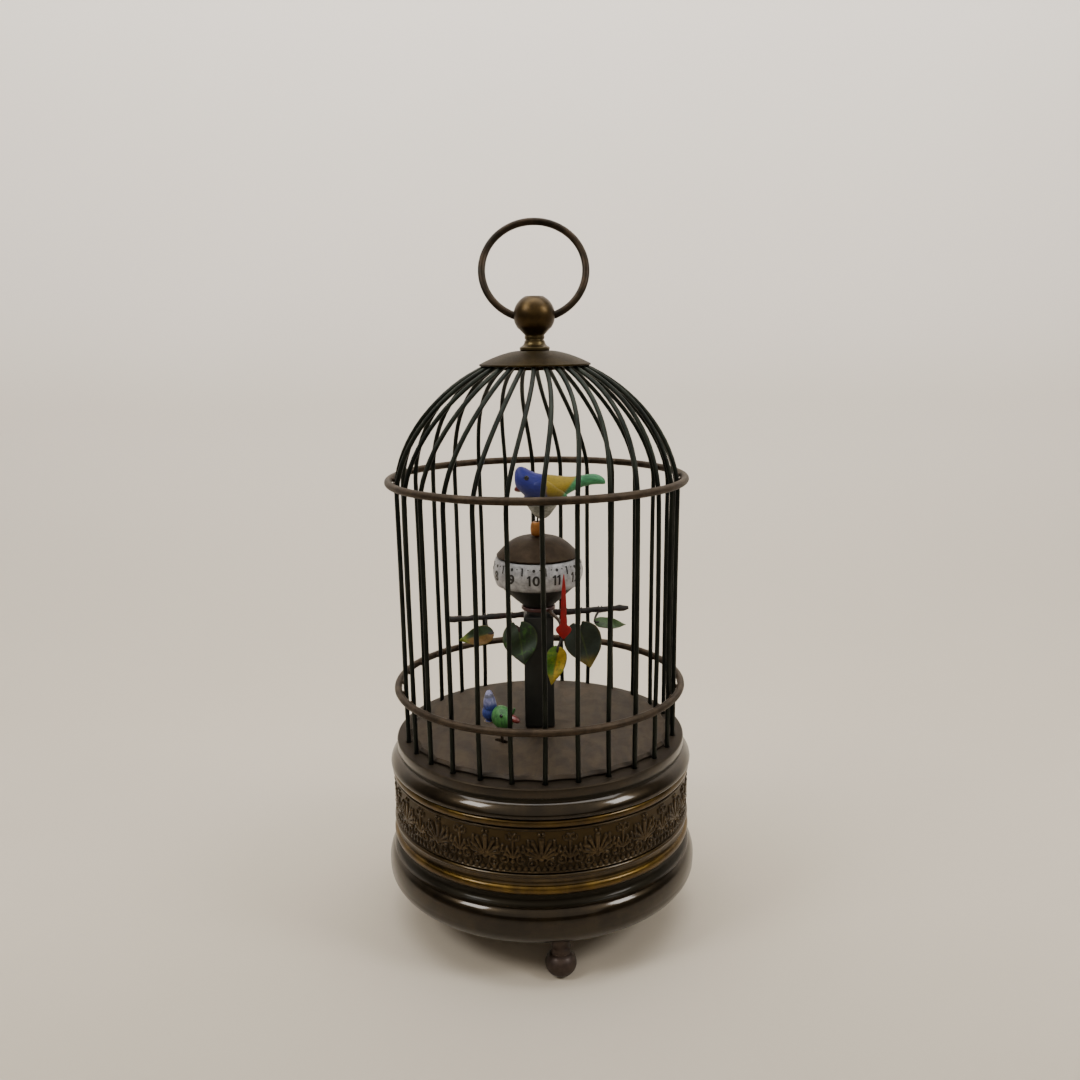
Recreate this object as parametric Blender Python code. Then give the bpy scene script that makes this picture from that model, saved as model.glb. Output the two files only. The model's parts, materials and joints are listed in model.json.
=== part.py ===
"""Birdcage automaton clock: a wire cage on a turned brass base that hides the movement.

A rotating ball dial stands on the post inside the cage. A painted bird on top of the
ball turns from side to side, and a second bird pecks at the floor.
Sizes below are in millimetres. The origin is on the floor, under the axis of the cage.
"""
import math

import bmesh
import bpy
from mathutils import Matrix, Vector

for old_object in list(bpy.data.objects):
    bpy.data.objects.remove(old_object, do_unlink=True)

MM = 0.001
GAP = 0.3

# Base: three ball feet, plinth, frieze and deck, all turned or pressed in thin brass
FOOT_BALL_RADIUS = 4.85
FOOT_REST_RADIUS = 1.6
FOOT_FIRST_ANGLE = -82.9
FOOT_NECK_RADIUS = 2.9
FOOT_SHANK_RADIUS = 1.5
PLINTH_BOTTOM = 14.2
PLINTH_RADIUS = 52.0
FOOT_CIRCLE_RADIUS = PLINTH_RADIUS - 7.5
FLANGE_HEIGHT = 10.9
COVE_HEIGHT = 4.0
TORUS_HEIGHT = 5.5
ASTRAGAL_HEIGHT = 1.7
COVE_RADIUS = PLINTH_RADIUS - 4.1
TORUS_RADIUS = PLINTH_RADIUS - 2.2
ASTRAGAL_RADIUS = PLINTH_RADIUS - 2.3
SHELL_WALL = 1.2
COVER_SETBACK = 3.0
FLANGE_THICKNESS = 1.2
FLANGE_INNER_RADIUS = FOOT_CIRCLE_RADIUS - 4.0
SPIGOT_HEIGHT = 3.6
FRIEZE_RADIUS = PLINTH_RADIUS - 2.5
FRIEZE_WALL = 2.0
FRIEZE_HEIGHT = 14.2
SHOULDER_RADIUS = FRIEZE_RADIUS + 0.7
SHOULDER_HEIGHT = 6.9
DECK_RADIUS = FRIEZE_RADIUS - 1.55
DECK_HEIGHT = 11.7
DECK_THICKNESS = 1.5
COVER_THICKNESS = 1.5

# Cage: straight wires in the deck, curved inward to the cap, held by two hoops
WIRE_COUNT = 28
WIRE_RADIUS = 0.75
WIRE_CIRCLE_RADIUS = DECK_RADIUS - 3.5
WIRE_FIRST_ANGLE = -88.2
WIRE_TAIL = 4.8
WIRE_TWIST = 10.0
WIRE_FLARE = 0.65
DOME_SPRING_HEIGHT = 144.0
DOME_RISE = 42.8
DOME_FULLNESS = 1.8
WIRE_TOP_RADIUS = 12.2
HOOP_TUBE_RADIUS = 1.2
WAIST_HOOP_HEIGHT = 79.8
DOME_HOOP_HEIGHT = DOME_SPRING_HEIGHT + 3.9
CAP_RADIUS = 17.6
CAP_EDGE_THICKNESS = 0.5
CAP_RISE = 4.1
CAP_TOP_RADIUS = 4.8
CAP_HUB_WALL = 1.2
CAP_WALL = 1.9

# Finial and its carrying ring
FINIAL_COLLAR_RADIUS = 4.8
FINIAL_NECK_RADIUS = 2.85
FINIAL_BALL_RADIUS = 6.5
FINIAL_BALL_RISE = 10.45
FINIAL_FLAT_RADIUS = 3.0
FINIAL_SHANK_RADIUS = 1.5
FINIAL_SHANK_LENGTH = 4.2
RING_RADIUS = 16.5
RING_TUBE_RADIUS = 1.125
RING_CENTRE_REACH = 15.2
RING_LEAN = 22.0
RING_PIN_END = 1.6

# Floor, post and ball dial
FLOOR_THICKNESS = 1.2
FLOOR_SCALLOP = 0.9
POST_WIDTH = 9.8
POST_HEIGHT = 38.0
POST_NECK_RADIUS = 3.9
POST_NECK_HEIGHT = 2.7
POST_SPIGOT_RADIUS = 3.6
BOWL_HEIGHT = 7.1
BOWL_RADIUS = 12.6
BOWL_FOOT_RADIUS = 4.6
BAND_HEIGHT = 9.0
BAND_EDGE_RADIUS = 13.65
BAND_BULGE = 1.05
BAND_WALL = 0.8
CROWN_HEIGHT = 6.3
CROWN_RADIUS = 13.45
CROWN_TOP_RADIUS = 3.4
CROWN_WALL = 1.0
BEAD_HEIGHT = 3.7
BEAD_SOCKET_RADIUS = 2.3
BEAD_BORE_RADIUS = 1.1
BEAD_BORE_DEPTH = 2.4

# Fixed pointer on the post
POINTER_COLLAR_THICKNESS = 1.3
POINTER_COLLAR_HEIGHT = 1.1
POINTER_TIP_ANGLE = -61.0
POINTER_TIP_STANDOFF = 2.0
POINTER_TIP_RISE = 5.2
POINTER_HEEL_ANGLE = -48.4
POINTER_HEEL_REACH = 12.0
POINTER_HEEL_DROP = 6.2
POINTER_THICKNESS = 0.5

# Perch branch with painted tin leaves
TWIG_RADIUS = 1.05
TWIG_LEFT = -31.5
TWIG_RIGHT = 30.4
TWIG_BELOW_TOP = 1.9
TWIG_RISE = 3.4
LEAF_THICKNESS = 0.5
STEM_RADIUS = 0.45

# Birds
TOP_BIRD_LENGTH = 30.4
FLOOR_BIRD_LENGTH = 16.0
FLOOR_BIRD_PLACE = (-12.3, -15.2)
FLOOR_BIRD_RISE = 6.3
LEG_RADIUS = 0.5

# Movement: two plates on pillars, a wind-up barrel, the train and the balance
PLATE_RADIUS = 34.5
PLATE_THICKNESS = 1.5
PLATE_LIFT = 2.6
PLATE_SPACING = 19.5
PILLAR_CIRCLE_RADIUS = 31.0
PILLAR_RADIUS = 2.0
PILLAR_ANGLES = (75.0, -10.0, -90.0, 195.0)
WHEEL_THICKNESS = 1.5
MODULE_HEAVY = 0.88
MODULE_LIGHT = 0.72
MESH_PLAY = 0.15
BARREL_TEETH = 24
HOUR_TEETH = 24
KNOB_TEETH = 8
PINION_TEETH = 8
THIRD_TEETH = 24
ESCAPE_TEETH = 12
BARREL_ANGLE = 150.0
KNOB_ANGLE = -75.0
THIRD_DIRECTION = 50.0
ESCAPE_DIRECTION = 0.5
PALLET_DIRECTION = -9.5
BALANCE_DIRECTION = -31.0
BARREL_DRUM_RADIUS = 10.0
BARREL_DRUM_HEIGHT = 6.5
BARREL_ARBOR_RADIUS = 1.5
ARBOR_RADIUS = 0.8
HOUR_TUBE_RADIUS = 2.2
HOUR_TUBE_WALL = 0.9
ROD_RADIUS = 0.9
ESCAPE_RADIUS = 7.0
PALLET_DISTANCE = 9.2
PALLET_CLEARANCE = 1.0
BALANCE_DISTANCE = 12.5
BALANCE_RADIUS = 8.0
BALANCE_RIM = 1.2
CRANK_RADIUS = 4.5
CRANK_PIN_RADIUS = 0.6
FORK_PLAY = 0.5
FINGER_RADIUS = 13.0
FINGER_WIRE_RADIUS = 0.6
BIRD_TURN = 20.0
PECK_DEPTH = 15.7
KEY_BOW_WIDTH = 18.0
KEY_BOW_HEIGHT = 6.6
KEY_BOW_THICKNESS = 1.6
KEY_HUB_RADIUS = 2.6
KEY_HUB_LENGTH = 9.6
KNOB_RADIUS = 5.0
KNOB_HEIGHT = 3.6
KNOB_STEM_RADIUS = 1.2

# Sides of the turned pieces
LARGE_SIDE_COUNT = WIRE_COUNT
PLATE_SIDE_COUNT = 20
DIAL_SIDE_COUNT = 18
CAP_SIDE_COUNT = 18
FINIAL_SIDE_COUNT = 14
SMALL_SIDE_COUNT = 12
SHAFT_SIDE_COUNT = 10
HOLE_SIDE_COUNT = 8
BORE_SIDE_COUNT = 6

# Heights that follow from the sizes above
plinth_top = PLINTH_BOTTOM + FLANGE_HEIGHT + COVE_HEIGHT + TORUS_HEIGHT + ASTRAGAL_HEIGHT
frieze_bottom = plinth_top + GAP
frieze_top = frieze_bottom + FRIEZE_HEIGHT
deck_bottom = frieze_top + GAP
deck_top = deck_bottom + DECK_HEIGHT
floor_bottom = deck_top + GAP
floor_top = floor_bottom + FLOOR_THICKNESS
post_bottom = floor_top + GAP
post_top = post_bottom + POST_HEIGHT
twig_middle = post_top - TWIG_BELOW_TOP
neck_top = post_top + POST_NECK_HEIGHT
bowl_bottom = neck_top + GAP
bowl_top = bowl_bottom + BOWL_HEIGHT
band_bottom = bowl_top + GAP
band_top = band_bottom + BAND_HEIGHT
crown_bottom = band_top + GAP
crown_top = crown_bottom + CROWN_HEIGHT
bead_bottom = crown_top + GAP
bead_top = bead_bottom + BEAD_HEIGHT
cover_bottom = PLINTH_BOTTOM + FLANGE_THICKNESS + GAP
cover_top = cover_bottom + COVER_THICKNESS
lower_plate_bottom = cover_top + GAP + PLATE_LIFT
lower_plate_top = lower_plate_bottom + PLATE_THICKNESS
upper_plate_bottom = lower_plate_top + PLATE_SPACING
upper_plate_top = upper_plate_bottom + PLATE_THICKNESS
spigot_radius = FRIEZE_RADIUS - FRIEZE_WALL - GAP
shell_inner_radius = spigot_radius - SHELL_WALL + GAP
bore_radius = HOUR_TUBE_RADIUS + 2 * GAP
dome_radius = WIRE_CIRCLE_RADIUS + WIRE_FLARE


def dome_height(radius):
    """Height of a wire's centreline where it is this far from the axis."""
    share = radius / dome_radius
    return DOME_SPRING_HEIGHT + DOME_RISE * (1.0 - share ** DOME_FULLNESS) ** (1 / DOME_FULLNESS)


def wire_reach(height):
    """Distance from the axis of the straight part of a wire, which leans slightly outward."""
    foot = deck_top - WIRE_TAIL
    share = min((height - foot) / (DOME_SPRING_HEIGHT - foot), 1.0)
    return WIRE_CIRCLE_RADIUS + WIRE_FLARE * share


cap_bottom = dome_height(CAP_RADIUS) + WIRE_RADIUS * 1.1 + GAP + 0.1
cap_top = cap_bottom + CAP_EDGE_THICKNESS + CAP_RISE
finial_bottom = cap_top + GAP
ball_height = finial_bottom + FINIAL_BALL_RISE

# Levels of the wheels between the plates
crank_level = lower_plate_top + 3.2
light_level = lower_plate_top + 3.5
fork_level = light_level + WHEEL_THICKNESS + GAP
balance_level = fork_level + 1.7
heavy_level = lower_plate_top + 9.5
drum_bottom = heavy_level + WHEEL_THICKNESS
escape_level = heavy_level + WHEEL_THICKNESS + 2.5


def polar(radius, degrees):
    angle = math.radians(degrees)
    return Vector((radius * math.cos(angle), radius * math.sin(angle)))


def step_from(place, distance, degrees):
    return place + polar(distance, degrees)


# Places of the arbors, seen from above
barrel_reach = (BARREL_TEETH + HOUR_TEETH) * MODULE_HEAVY / 2 + MESH_PLAY
barrel_place = polar(barrel_reach, BARREL_ANGLE)
knob_reach = (HOUR_TEETH + KNOB_TEETH) * MODULE_HEAVY / 2 + MESH_PLAY
knob_place = polar(knob_reach, KNOB_ANGLE)
third_reach = (BARREL_TEETH + PINION_TEETH) * MODULE_HEAVY / 2 + MESH_PLAY
third_place = step_from(barrel_place, third_reach, THIRD_DIRECTION)
escape_reach = (THIRD_TEETH + PINION_TEETH) * MODULE_LIGHT / 2 + MESH_PLAY
escape_place = step_from(third_place, escape_reach, ESCAPE_DIRECTION)
pallet_place = step_from(escape_place, PALLET_DISTANCE, PALLET_DIRECTION)
balance_place = step_from(pallet_place, BALANCE_DISTANCE, BALANCE_DIRECTION)
pallet_angle = math.degrees(math.atan2(pallet_place.y, pallet_place.x))
pallet_reach = pallet_place.length
peck_place = Vector(FLOOR_BIRD_PLACE)
peck_angle = math.degrees(math.atan2(peck_place.y, peck_place.x))
peck_axis_height = deck_top - DECK_THICKNESS - LEG_RADIUS - 1.0
prong_height = peck_axis_height - PECK_DEPTH
finger_top = prong_height + 2.6
peck_swing = BIRD_TURN * FINGER_RADIUS / PECK_DEPTH


def paint(name, colour, roughness, metallic):
    material = bpy.data.materials.new(name)
    material.use_nodes = True
    shader = material.node_tree.nodes["Principled BSDF"]
    shader.inputs["Base Color"].default_value = (*colour, 1.0)
    shader.inputs["Roughness"].default_value = roughness
    shader.inputs["Metallic"].default_value = metallic
    material.diffuse_color = (*colour, 1.0)
    return material


AGED_BRASS = paint("aged_brass", (0.16, 0.12, 0.07), 0.38, 1.0)
FRIEZE_BRASS = paint("embossed_brass", (0.17, 0.13, 0.08), 0.45, 1.0)
CAGE_WIRE = paint("dark_cage_wire", (0.02, 0.028, 0.02), 0.4, 0.6)
HOOP_BRASS = paint("hoop_brass", (0.14, 0.10, 0.07), 0.45, 0.9)
FLOOR_BROWN = paint("floor_brown", (0.19, 0.14, 0.10), 0.6, 0.4)
POST_PAINT = paint("post_paint", (0.012, 0.02, 0.014), 0.4, 0.0)
DIAL_WHITE = paint("dial_white", (0.62, 0.62, 0.62), 0.45, 0.1)
CROWN_BROWN = paint("crown_brown", (0.10, 0.075, 0.05), 0.5, 0.2)
BEAD_COPPER = paint("bead_copper", (0.50, 0.20, 0.05), 0.4, 0.3)
BIRD_BLUE = paint("bird_blue", (0.05, 0.09, 0.45), 0.5, 0.0)
BIRD_GREEN = paint("bird_green", (0.10, 0.45, 0.22), 0.5, 0.0)
POINTER_RED = paint("pointer_red", (0.50, 0.015, 0.03), 0.4, 0.0)
LEAF_GREEN = paint("leaf_green", (0.05, 0.12, 0.03), 0.5, 0.0)
MOVEMENT_BRASS = paint("movement_brass", (0.60, 0.45, 0.18), 0.3, 1.0)
MOVEMENT_STEEL = paint("movement_steel", (0.45, 0.45, 0.46), 0.3, 1.0)


def turned(profile, sides, first_angle=0.0):
    """Spin an outline of (radius, height) points about the vertical axis into a solid."""
    shape = bmesh.new()
    points = [shape.verts.new((radius, 0.0, height)) for radius, height in profile]
    edges = [shape.edges.new(pair) for pair in zip(points, points[1:])]
    on_axis = profile[0][0] < 1e-6 and profile[-1][0] < 1e-6
    if not on_axis:
        edges.append(shape.edges.new((points[-1], points[0])))
    bmesh.ops.spin(shape, geom=points + edges, cent=(0, 0, 0), axis=(0, 0, 1),
                   angle=math.tau, steps=sides, use_merge=True)
    bmesh.ops.remove_doubles(shape, verts=shape.verts, dist=1e-4)
    bmesh.ops.recalc_face_normals(shape, faces=shape.faces)
    bmesh.ops.rotate(shape, verts=shape.verts, cent=(0, 0, 0),
                     matrix=Matrix.Rotation(math.radians(first_angle), 3, "Z"))
    return shape


def rod(radius, bottom, top, sides=SMALL_SIDE_COUNT, place=(0.0, 0.0)):
    shape = turned([(0, bottom), (radius, bottom), (radius, top), (0, top)], sides)
    return moved(shape, (place[0], place[1], 0))


def pipe(outer, inner, bottom, top, sides=SMALL_SIDE_COUNT, place=(0.0, 0.0)):
    outline = [(inner, bottom), (outer, bottom), (outer, top), (inner, top)]
    return moved(turned(outline, sides), (place[0], place[1], 0))


def drill(radius, bottom, top, place=(0.0, 0.0)):
    """Cutter for a round hole whose flats stand at the given radius."""
    return rod(radius / math.cos(math.pi / BORE_SIDE_COUNT), bottom, top, BORE_SIDE_COUNT, place)


def moved(shape, offset):
    bmesh.ops.translate(shape, verts=shape.verts, vec=offset)
    return shape


def turned_about(shape, degrees, axis="Z", centre=(0, 0, 0)):
    bmesh.ops.rotate(shape, verts=shape.verts, cent=centre,
                     matrix=Matrix.Rotation(math.radians(degrees), 3, axis))
    return shape


def block(size, centre, turn=0.0):
    shape = bmesh.new()
    bmesh.ops.create_cube(shape, size=1.0)
    bmesh.ops.scale(shape, verts=shape.verts, vec=size)
    turned_about(shape, turn)
    return moved(shape, centre)


def plate_from(outline, bottom, top, holes=()):
    """Cut a flat plate to an outline, with holes given as further outlines."""
    shape = bmesh.new()
    edges = []
    for loop in (outline, *holes):
        corners = [shape.verts.new((point[0], point[1], bottom)) for point in loop]
        for index, corner in enumerate(corners):
            edges.append(shape.edges.new((corner, corners[(index + 1) % len(corners)])))
    bmesh.ops.triangle_fill(shape, use_beauty=True, use_dissolve=False, edges=edges)
    sheet = bmesh.ops.extrude_face_region(shape, geom=list(shape.faces))["geom"]
    lifted = [item for item in sheet if isinstance(item, bmesh.types.BMVert)]
    bmesh.ops.translate(shape, verts=lifted, vec=(0, 0, top - bottom))
    bmesh.ops.recalc_face_normals(shape, faces=shape.faces)
    return shape


def ring_points(radius, sides, centre=(0.0, 0.0), first=0.0):
    return [Vector(centre) + polar(radius, first + 360.0 * step / sides) for step in range(sides)]


def hole_points(radius, sides, centre=(0.0, 0.0)):
    """Outline of a hole whose flats stand at the given radius."""
    return ring_points(radius / math.cos(math.pi / sides), sides, centre)


def gear_points(teeth, module, tooth_angle, centre=(0.0, 0.0)):
    """Outline of a spur gear with one tooth centred on tooth_angle (degrees)."""
    pitch_radius = teeth * module / 2
    root = pitch_radius - 1.15 * module
    tip = pitch_radius + 0.85 * module
    pitch = 360.0 / teeth
    corners = ((-0.29, root), (-0.11, tip), (0.11, tip), (0.29, root))
    points = []
    for tooth in range(teeth):
        middle = tooth_angle + pitch * tooth
        for share, radius in corners:
            points.append(Vector(centre) + polar(radius, middle + share * pitch))
    return points


def meshing_angle(direction, driver_angle, driver_teeth, driven_teeth):
    """Tooth angle that puts the driven gear's gap on the driver's tooth."""
    swing = (driver_angle - direction) * driver_teeth / driven_teeth
    return direction + 180.0 - swing + 180.0 / driven_teeth


def wire_along(points, radius, resolution=1):
    """Round wire of one thickness along a route of points."""
    route = bpy.data.curves.new("route", "CURVE")
    route.dimensions = "3D"
    line = route.splines.new("POLY")
    line.points.add(len(points) - 1)
    for spot, point in zip(line.points, points):
        spot.co = (*point, 1.0)
    route.bevel_depth = radius
    route.bevel_resolution = resolution
    route.use_fill_caps = True
    carrier = bpy.data.objects.new("route", route)
    bpy.context.scene.collection.objects.link(carrier)
    shape = evaluated(carrier)
    bpy.data.objects.remove(carrier, do_unlink=True)
    bmesh.ops.remove_doubles(shape, verts=shape.verts, dist=1e-4)
    bmesh.ops.recalc_face_normals(shape, faces=shape.faces)
    return shape


def evaluated(item):
    """The shape of an object with its modifiers applied."""
    graph = bpy.context.evaluated_depsgraph_get()
    final = item.evaluated_get(graph)
    mesh = final.to_mesh()
    shape = bmesh.new()
    shape.from_mesh(mesh)
    final.to_mesh_clear()
    return shape


def combined(shape, other, operation):
    """Boolean of two closed shapes."""
    carriers = []
    for label, part in (("body", shape), ("tool", other)):
        mesh = bpy.data.meshes.new(label)
        part.to_mesh(mesh)
        part.free()
        carrier = bpy.data.objects.new(label, mesh)
        bpy.context.scene.collection.objects.link(carrier)
        carriers.append(carrier)
    body, tool = carriers
    cut = body.modifiers.new("cut", "BOOLEAN")
    cut.operation = operation
    cut.solver = "EXACT"
    cut.object = tool
    result = evaluated(body)
    for carrier in carriers:
        bpy.data.objects.remove(carrier, do_unlink=True)
    bmesh.ops.remove_doubles(result, verts=result.verts, dist=1e-4)
    return result


def soldered(*shapes):
    """Join overlapping shapes into one solid."""
    body = shapes[0]
    for shape in shapes[1:]:
        body = combined(body, shape, "UNION")
    return body


def drilled(shape, *tools):
    for tool in tools:
        shape = combined(shape, tool, "DIFFERENCE")
    return shape


def together(shapes):
    """Put shapes that don't touch into one cutter."""
    result = bmesh.new()
    for shape in shapes:
        mesh = bpy.data.meshes.new("piece")
        shape.to_mesh(mesh)
        shape.free()
        result.from_mesh(mesh)
        bpy.data.meshes.remove(mesh)
    return result


def lofted(stations, sides):
    """Skin elliptical sections (x, centre z, half width, half height) along X."""
    shape = bmesh.new()
    loops = []
    for along, height, half_width, half_height in stations:
        made = bmesh.ops.create_circle(shape, segments=sides, radius=1.0)["verts"]
        bmesh.ops.rotate(shape, verts=made, cent=(0, 0, 0),
                         matrix=Matrix.Rotation(math.radians(90), 3, "Y"))
        bmesh.ops.scale(shape, verts=made, vec=(1.0, half_width, half_height))
        bmesh.ops.translate(shape, verts=made, vec=(along, 0, height))
        loops.append(sorted({edge for vert in made for edge in vert.link_edges},
                            key=lambda edge: edge.index))
    for first, second in zip(loops, loops[1:]):
        bmesh.ops.bridge_loops(shape, edges=first + second)
    for loop in (loops[0], loops[-1]):
        bmesh.ops.edgeloop_fill(shape, edges=loop)
    bmesh.ops.recalc_face_normals(shape, faces=shape.faces)
    return shape


def anchor(name, place):
    """An empty on a joint's axis, which carries the pieces that move together."""
    empty = bpy.data.objects.new(name, None)
    empty.empty_display_size = 5 * MM
    empty.location = Vector(place) * MM
    bpy.context.scene.collection.objects.link(empty)
    return empty


def make(name, shape, material, origin=(0, 0, 0), carrier=None, sharp=35.0):
    """Turn a shape in millimetres into a finished object in metres."""
    bmesh.ops.dissolve_limit(shape, angle_limit=math.radians(0.2), verts=shape.verts,
                             edges=shape.edges)
    bmesh.ops.triangulate(shape, faces=[face for face in shape.faces if len(face.verts) > 4])
    bmesh.ops.translate(shape, verts=shape.verts, vec=-Vector(origin))
    bmesh.ops.scale(shape, verts=shape.verts, vec=(MM, MM, MM))
    mesh = bpy.data.meshes.new(name)
    shape.to_mesh(mesh)
    shape.free()
    mesh.shade_smooth()
    mesh.set_sharp_from_angle(angle=math.radians(sharp))
    mesh.materials.append(material)
    return place_object(name, mesh, origin, carrier)


def place_object(name, mesh, origin=(0, 0, 0), carrier=None):
    item = bpy.data.objects.new(name, mesh)
    bpy.context.scene.collection.objects.link(item)
    if carrier is None:
        item.location = Vector(origin) * MM
    else:
        item.parent = carrier
        item.location = Vector(origin) * MM - carrier.location
    return item


# Base shells


def make_feet():
    neck_bottom = 2 * FOOT_BALL_RADIUS - 1.4
    shoulder = PLINTH_BOTTOM - GAP
    start = math.degrees(math.asin(FOOT_REST_RADIUS / FOOT_BALL_RADIUS)) - 90
    end = 90 - math.degrees(math.asin(FOOT_NECK_RADIUS / FOOT_BALL_RADIUS))
    centre = FOOT_BALL_RADIUS * math.cos(math.radians(start + 90))
    profile = [(0.0, 0.0)]
    rings = 5
    for step in range(rings + 1):
        angle = math.radians(start + (end - start) * step / rings)
        profile.append((FOOT_BALL_RADIUS * math.cos(angle),
                        centre + FOOT_BALL_RADIUS * math.sin(angle)))
    profile += [(FOOT_NECK_RADIUS - 0.5, neck_bottom + 1.4), (FOOT_NECK_RADIUS, shoulder),
                (FOOT_SHANK_RADIUS, shoulder), (FOOT_SHANK_RADIUS, cover_top + 2.0),
                (0.0, cover_top + 2.0)]
    for number in range(3):
        place = polar(FOOT_CIRCLE_RADIUS, FOOT_FIRST_ANGLE + 120 * number)
        shape = moved(turned(profile, HOLE_SIDE_COUNT), (place.x, place.y, 0))
        make(f"ball_foot_{number + 1}", shape, AGED_BRASS, (place.x, place.y, 0))


def foot_holes(bottom, top):
    places = [polar(FOOT_CIRCLE_RADIUS, FOOT_FIRST_ANGLE + 120 * n) for n in range(3)]
    return together([drill(FOOT_SHANK_RADIUS + GAP, bottom, top, place) for place in places])


def make_plinth():
    top = plinth_top
    base = PLINTH_BOTTOM
    inner = shell_inner_radius
    wall = PLINTH_RADIUS - SHELL_WALL
    astragal = top - ASTRAGAL_HEIGHT
    torus = astragal - TORUS_HEIGHT
    flange = base + FLANGE_HEIGHT
    profile = [
        (inner, top + SPIGOT_HEIGHT), (spigot_radius, top + SPIGOT_HEIGHT), (spigot_radius, top),
        (ASTRAGAL_RADIUS, top - 0.2 * ASTRAGAL_HEIGHT), (ASTRAGAL_RADIUS - 0.4, astragal),
        (TORUS_RADIUS - 0.2, torus + 0.76 * TORUS_HEIGHT), (TORUS_RADIUS, torus + 0.5 * TORUS_HEIGHT),
        (TORUS_RADIUS - 0.9, torus + 0.22 * TORUS_HEIGHT), (COVE_RADIUS, torus),
        (COVE_RADIUS + 0.3, flange + 0.15 * COVE_HEIGHT), (PLINTH_RADIUS - 1.5, flange),
        (PLINTH_RADIUS, base + 0.76 * FLANGE_HEIGHT), (PLINTH_RADIUS - 0.5, base + 0.34 * FLANGE_HEIGHT),
        (PLINTH_RADIUS - 2.0, base),
        (FLANGE_INNER_RADIUS, base), (FLANGE_INNER_RADIUS, base + FLANGE_THICKNESS),
        (wall - 1.0, base + FLANGE_THICKNESS), (inner, base + 0.95 * FLANGE_HEIGHT),
    ]
    shape = turned(profile, LARGE_SIDE_COUNT)
    shape = drilled(shape, foot_holes(base - 1, base + FLANGE_THICKNESS + 1))
    make("plinth_moulding", shape, AGED_BRASS, (0, 0, base))


def make_cover():
    radius = PLINTH_RADIUS - SHELL_WALL - COVER_SETBACK
    shape = turned([(0, cover_bottom), (radius, cover_bottom), (radius, cover_top),
                    (0, cover_top)], LARGE_SIDE_COUNT)
    low = cover_bottom - 1
    high = cover_top + 1
    key_hole = drill(BARREL_ARBOR_RADIUS + GAP, low, high, barrel_place)
    knob_hole = drill(KNOB_STEM_RADIUS + GAP, low, high, knob_place)
    shape = drilled(shape, foot_holes(low, high), together([key_hole, knob_hole]))
    make("bottom_cover", shape, AGED_BRASS, (0, 0, cover_bottom))


def make_frieze():
    outer = FRIEZE_RADIUS
    inner = FRIEZE_RADIUS - FRIEZE_WALL
    low = frieze_bottom
    high = frieze_top
    profile = [(inner, low), (outer, low), (outer - 0.35, low + 1.2),
               (outer - 0.35, high - 1.2), (outer, high), (inner, high)]
    make("frieze_band", turned(profile, LARGE_SIDE_COUNT), FRIEZE_BRASS, (0, 0, low))


def wire_angles():
    return [WIRE_FIRST_ANGLE + 360.0 * number / WIRE_COUNT for number in range(WIRE_COUNT)]


def peck_slot(bottom, top):
    """Slot for the pecking bird's leg, long across the line to the axis."""
    reach = (top - peck_axis_height) * math.sin(math.radians(peck_swing)) + LEG_RADIUS + 3 * GAP
    size = (2 * LEG_RADIUS + 4 * GAP, 2 * reach, top - bottom)
    centre = (peck_place.x, peck_place.y, (bottom + top) / 2)
    return block(size, centre, peck_angle)


def make_deck():
    top = deck_top
    inner = shell_inner_radius
    low = deck_bottom
    shoulder = low + SHOULDER_HEIGHT
    profile = [
        (POST_SPIGOT_RADIUS + GAP, top), (DECK_RADIUS - 0.4, top), (DECK_RADIUS, top - 0.5),
        (DECK_RADIUS - 0.2, shoulder + 0.33 * (top - shoulder)), (SHOULDER_RADIUS - 1.3, shoulder),
        (SHOULDER_RADIUS, low + 0.68 * SHOULDER_HEIGHT),
        (FRIEZE_RADIUS - 0.1, low + 0.37 * SHOULDER_HEIGHT),
        (FRIEZE_RADIUS + 0.35, low + 0.18 * SHOULDER_HEIGHT), (FRIEZE_RADIUS - 0.1, low),
        (spigot_radius, low),
        (spigot_radius, low - SPIGOT_HEIGHT), (inner, low - SPIGOT_HEIGHT),
        (inner, top - DECK_THICKNESS), (POST_SPIGOT_RADIUS + GAP, top - DECK_THICKNESS),
    ]
    shape = turned(profile, LARGE_SIDE_COUNT)
    lug_top = deck_top - 0.4
    lug_size = (1.2, 3.4, lug_top - peck_axis_height + 1.6)
    lugs = []
    for offset in (-2.4, 2.4):
        spot = peck_place + polar(offset, peck_angle)
        lugs.append(block(lug_size, (spot.x, spot.y, lug_top - lug_size[2] / 2), peck_angle))
    shape = soldered(shape, *lugs)
    hole = (WIRE_RADIUS + GAP) / math.cos(math.pi / BORE_SIDE_COUNT)
    wire_holes = [rod(hole, top - DECK_THICKNESS - 1, top + 1, BORE_SIDE_COUNT,
                      polar(WIRE_CIRCLE_RADIUS, angle)) for angle in wire_angles()]
    pin_hole = turned_about(rod(LEG_RADIUS + GAP, -4, 4, HOLE_SIDE_COUNT), 90, "Y")
    pin_hole = turned_about(pin_hole, peck_angle)
    pin_hole = moved(pin_hole, (peck_place.x, peck_place.y, peck_axis_height))
    slot = peck_slot(top - DECK_THICKNESS - 1, top + 1)
    shape = drilled(shape, together(wire_holes), pin_hole, slot)
    make("deck_moulding", shape, AGED_BRASS, (0, 0, low))


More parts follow.
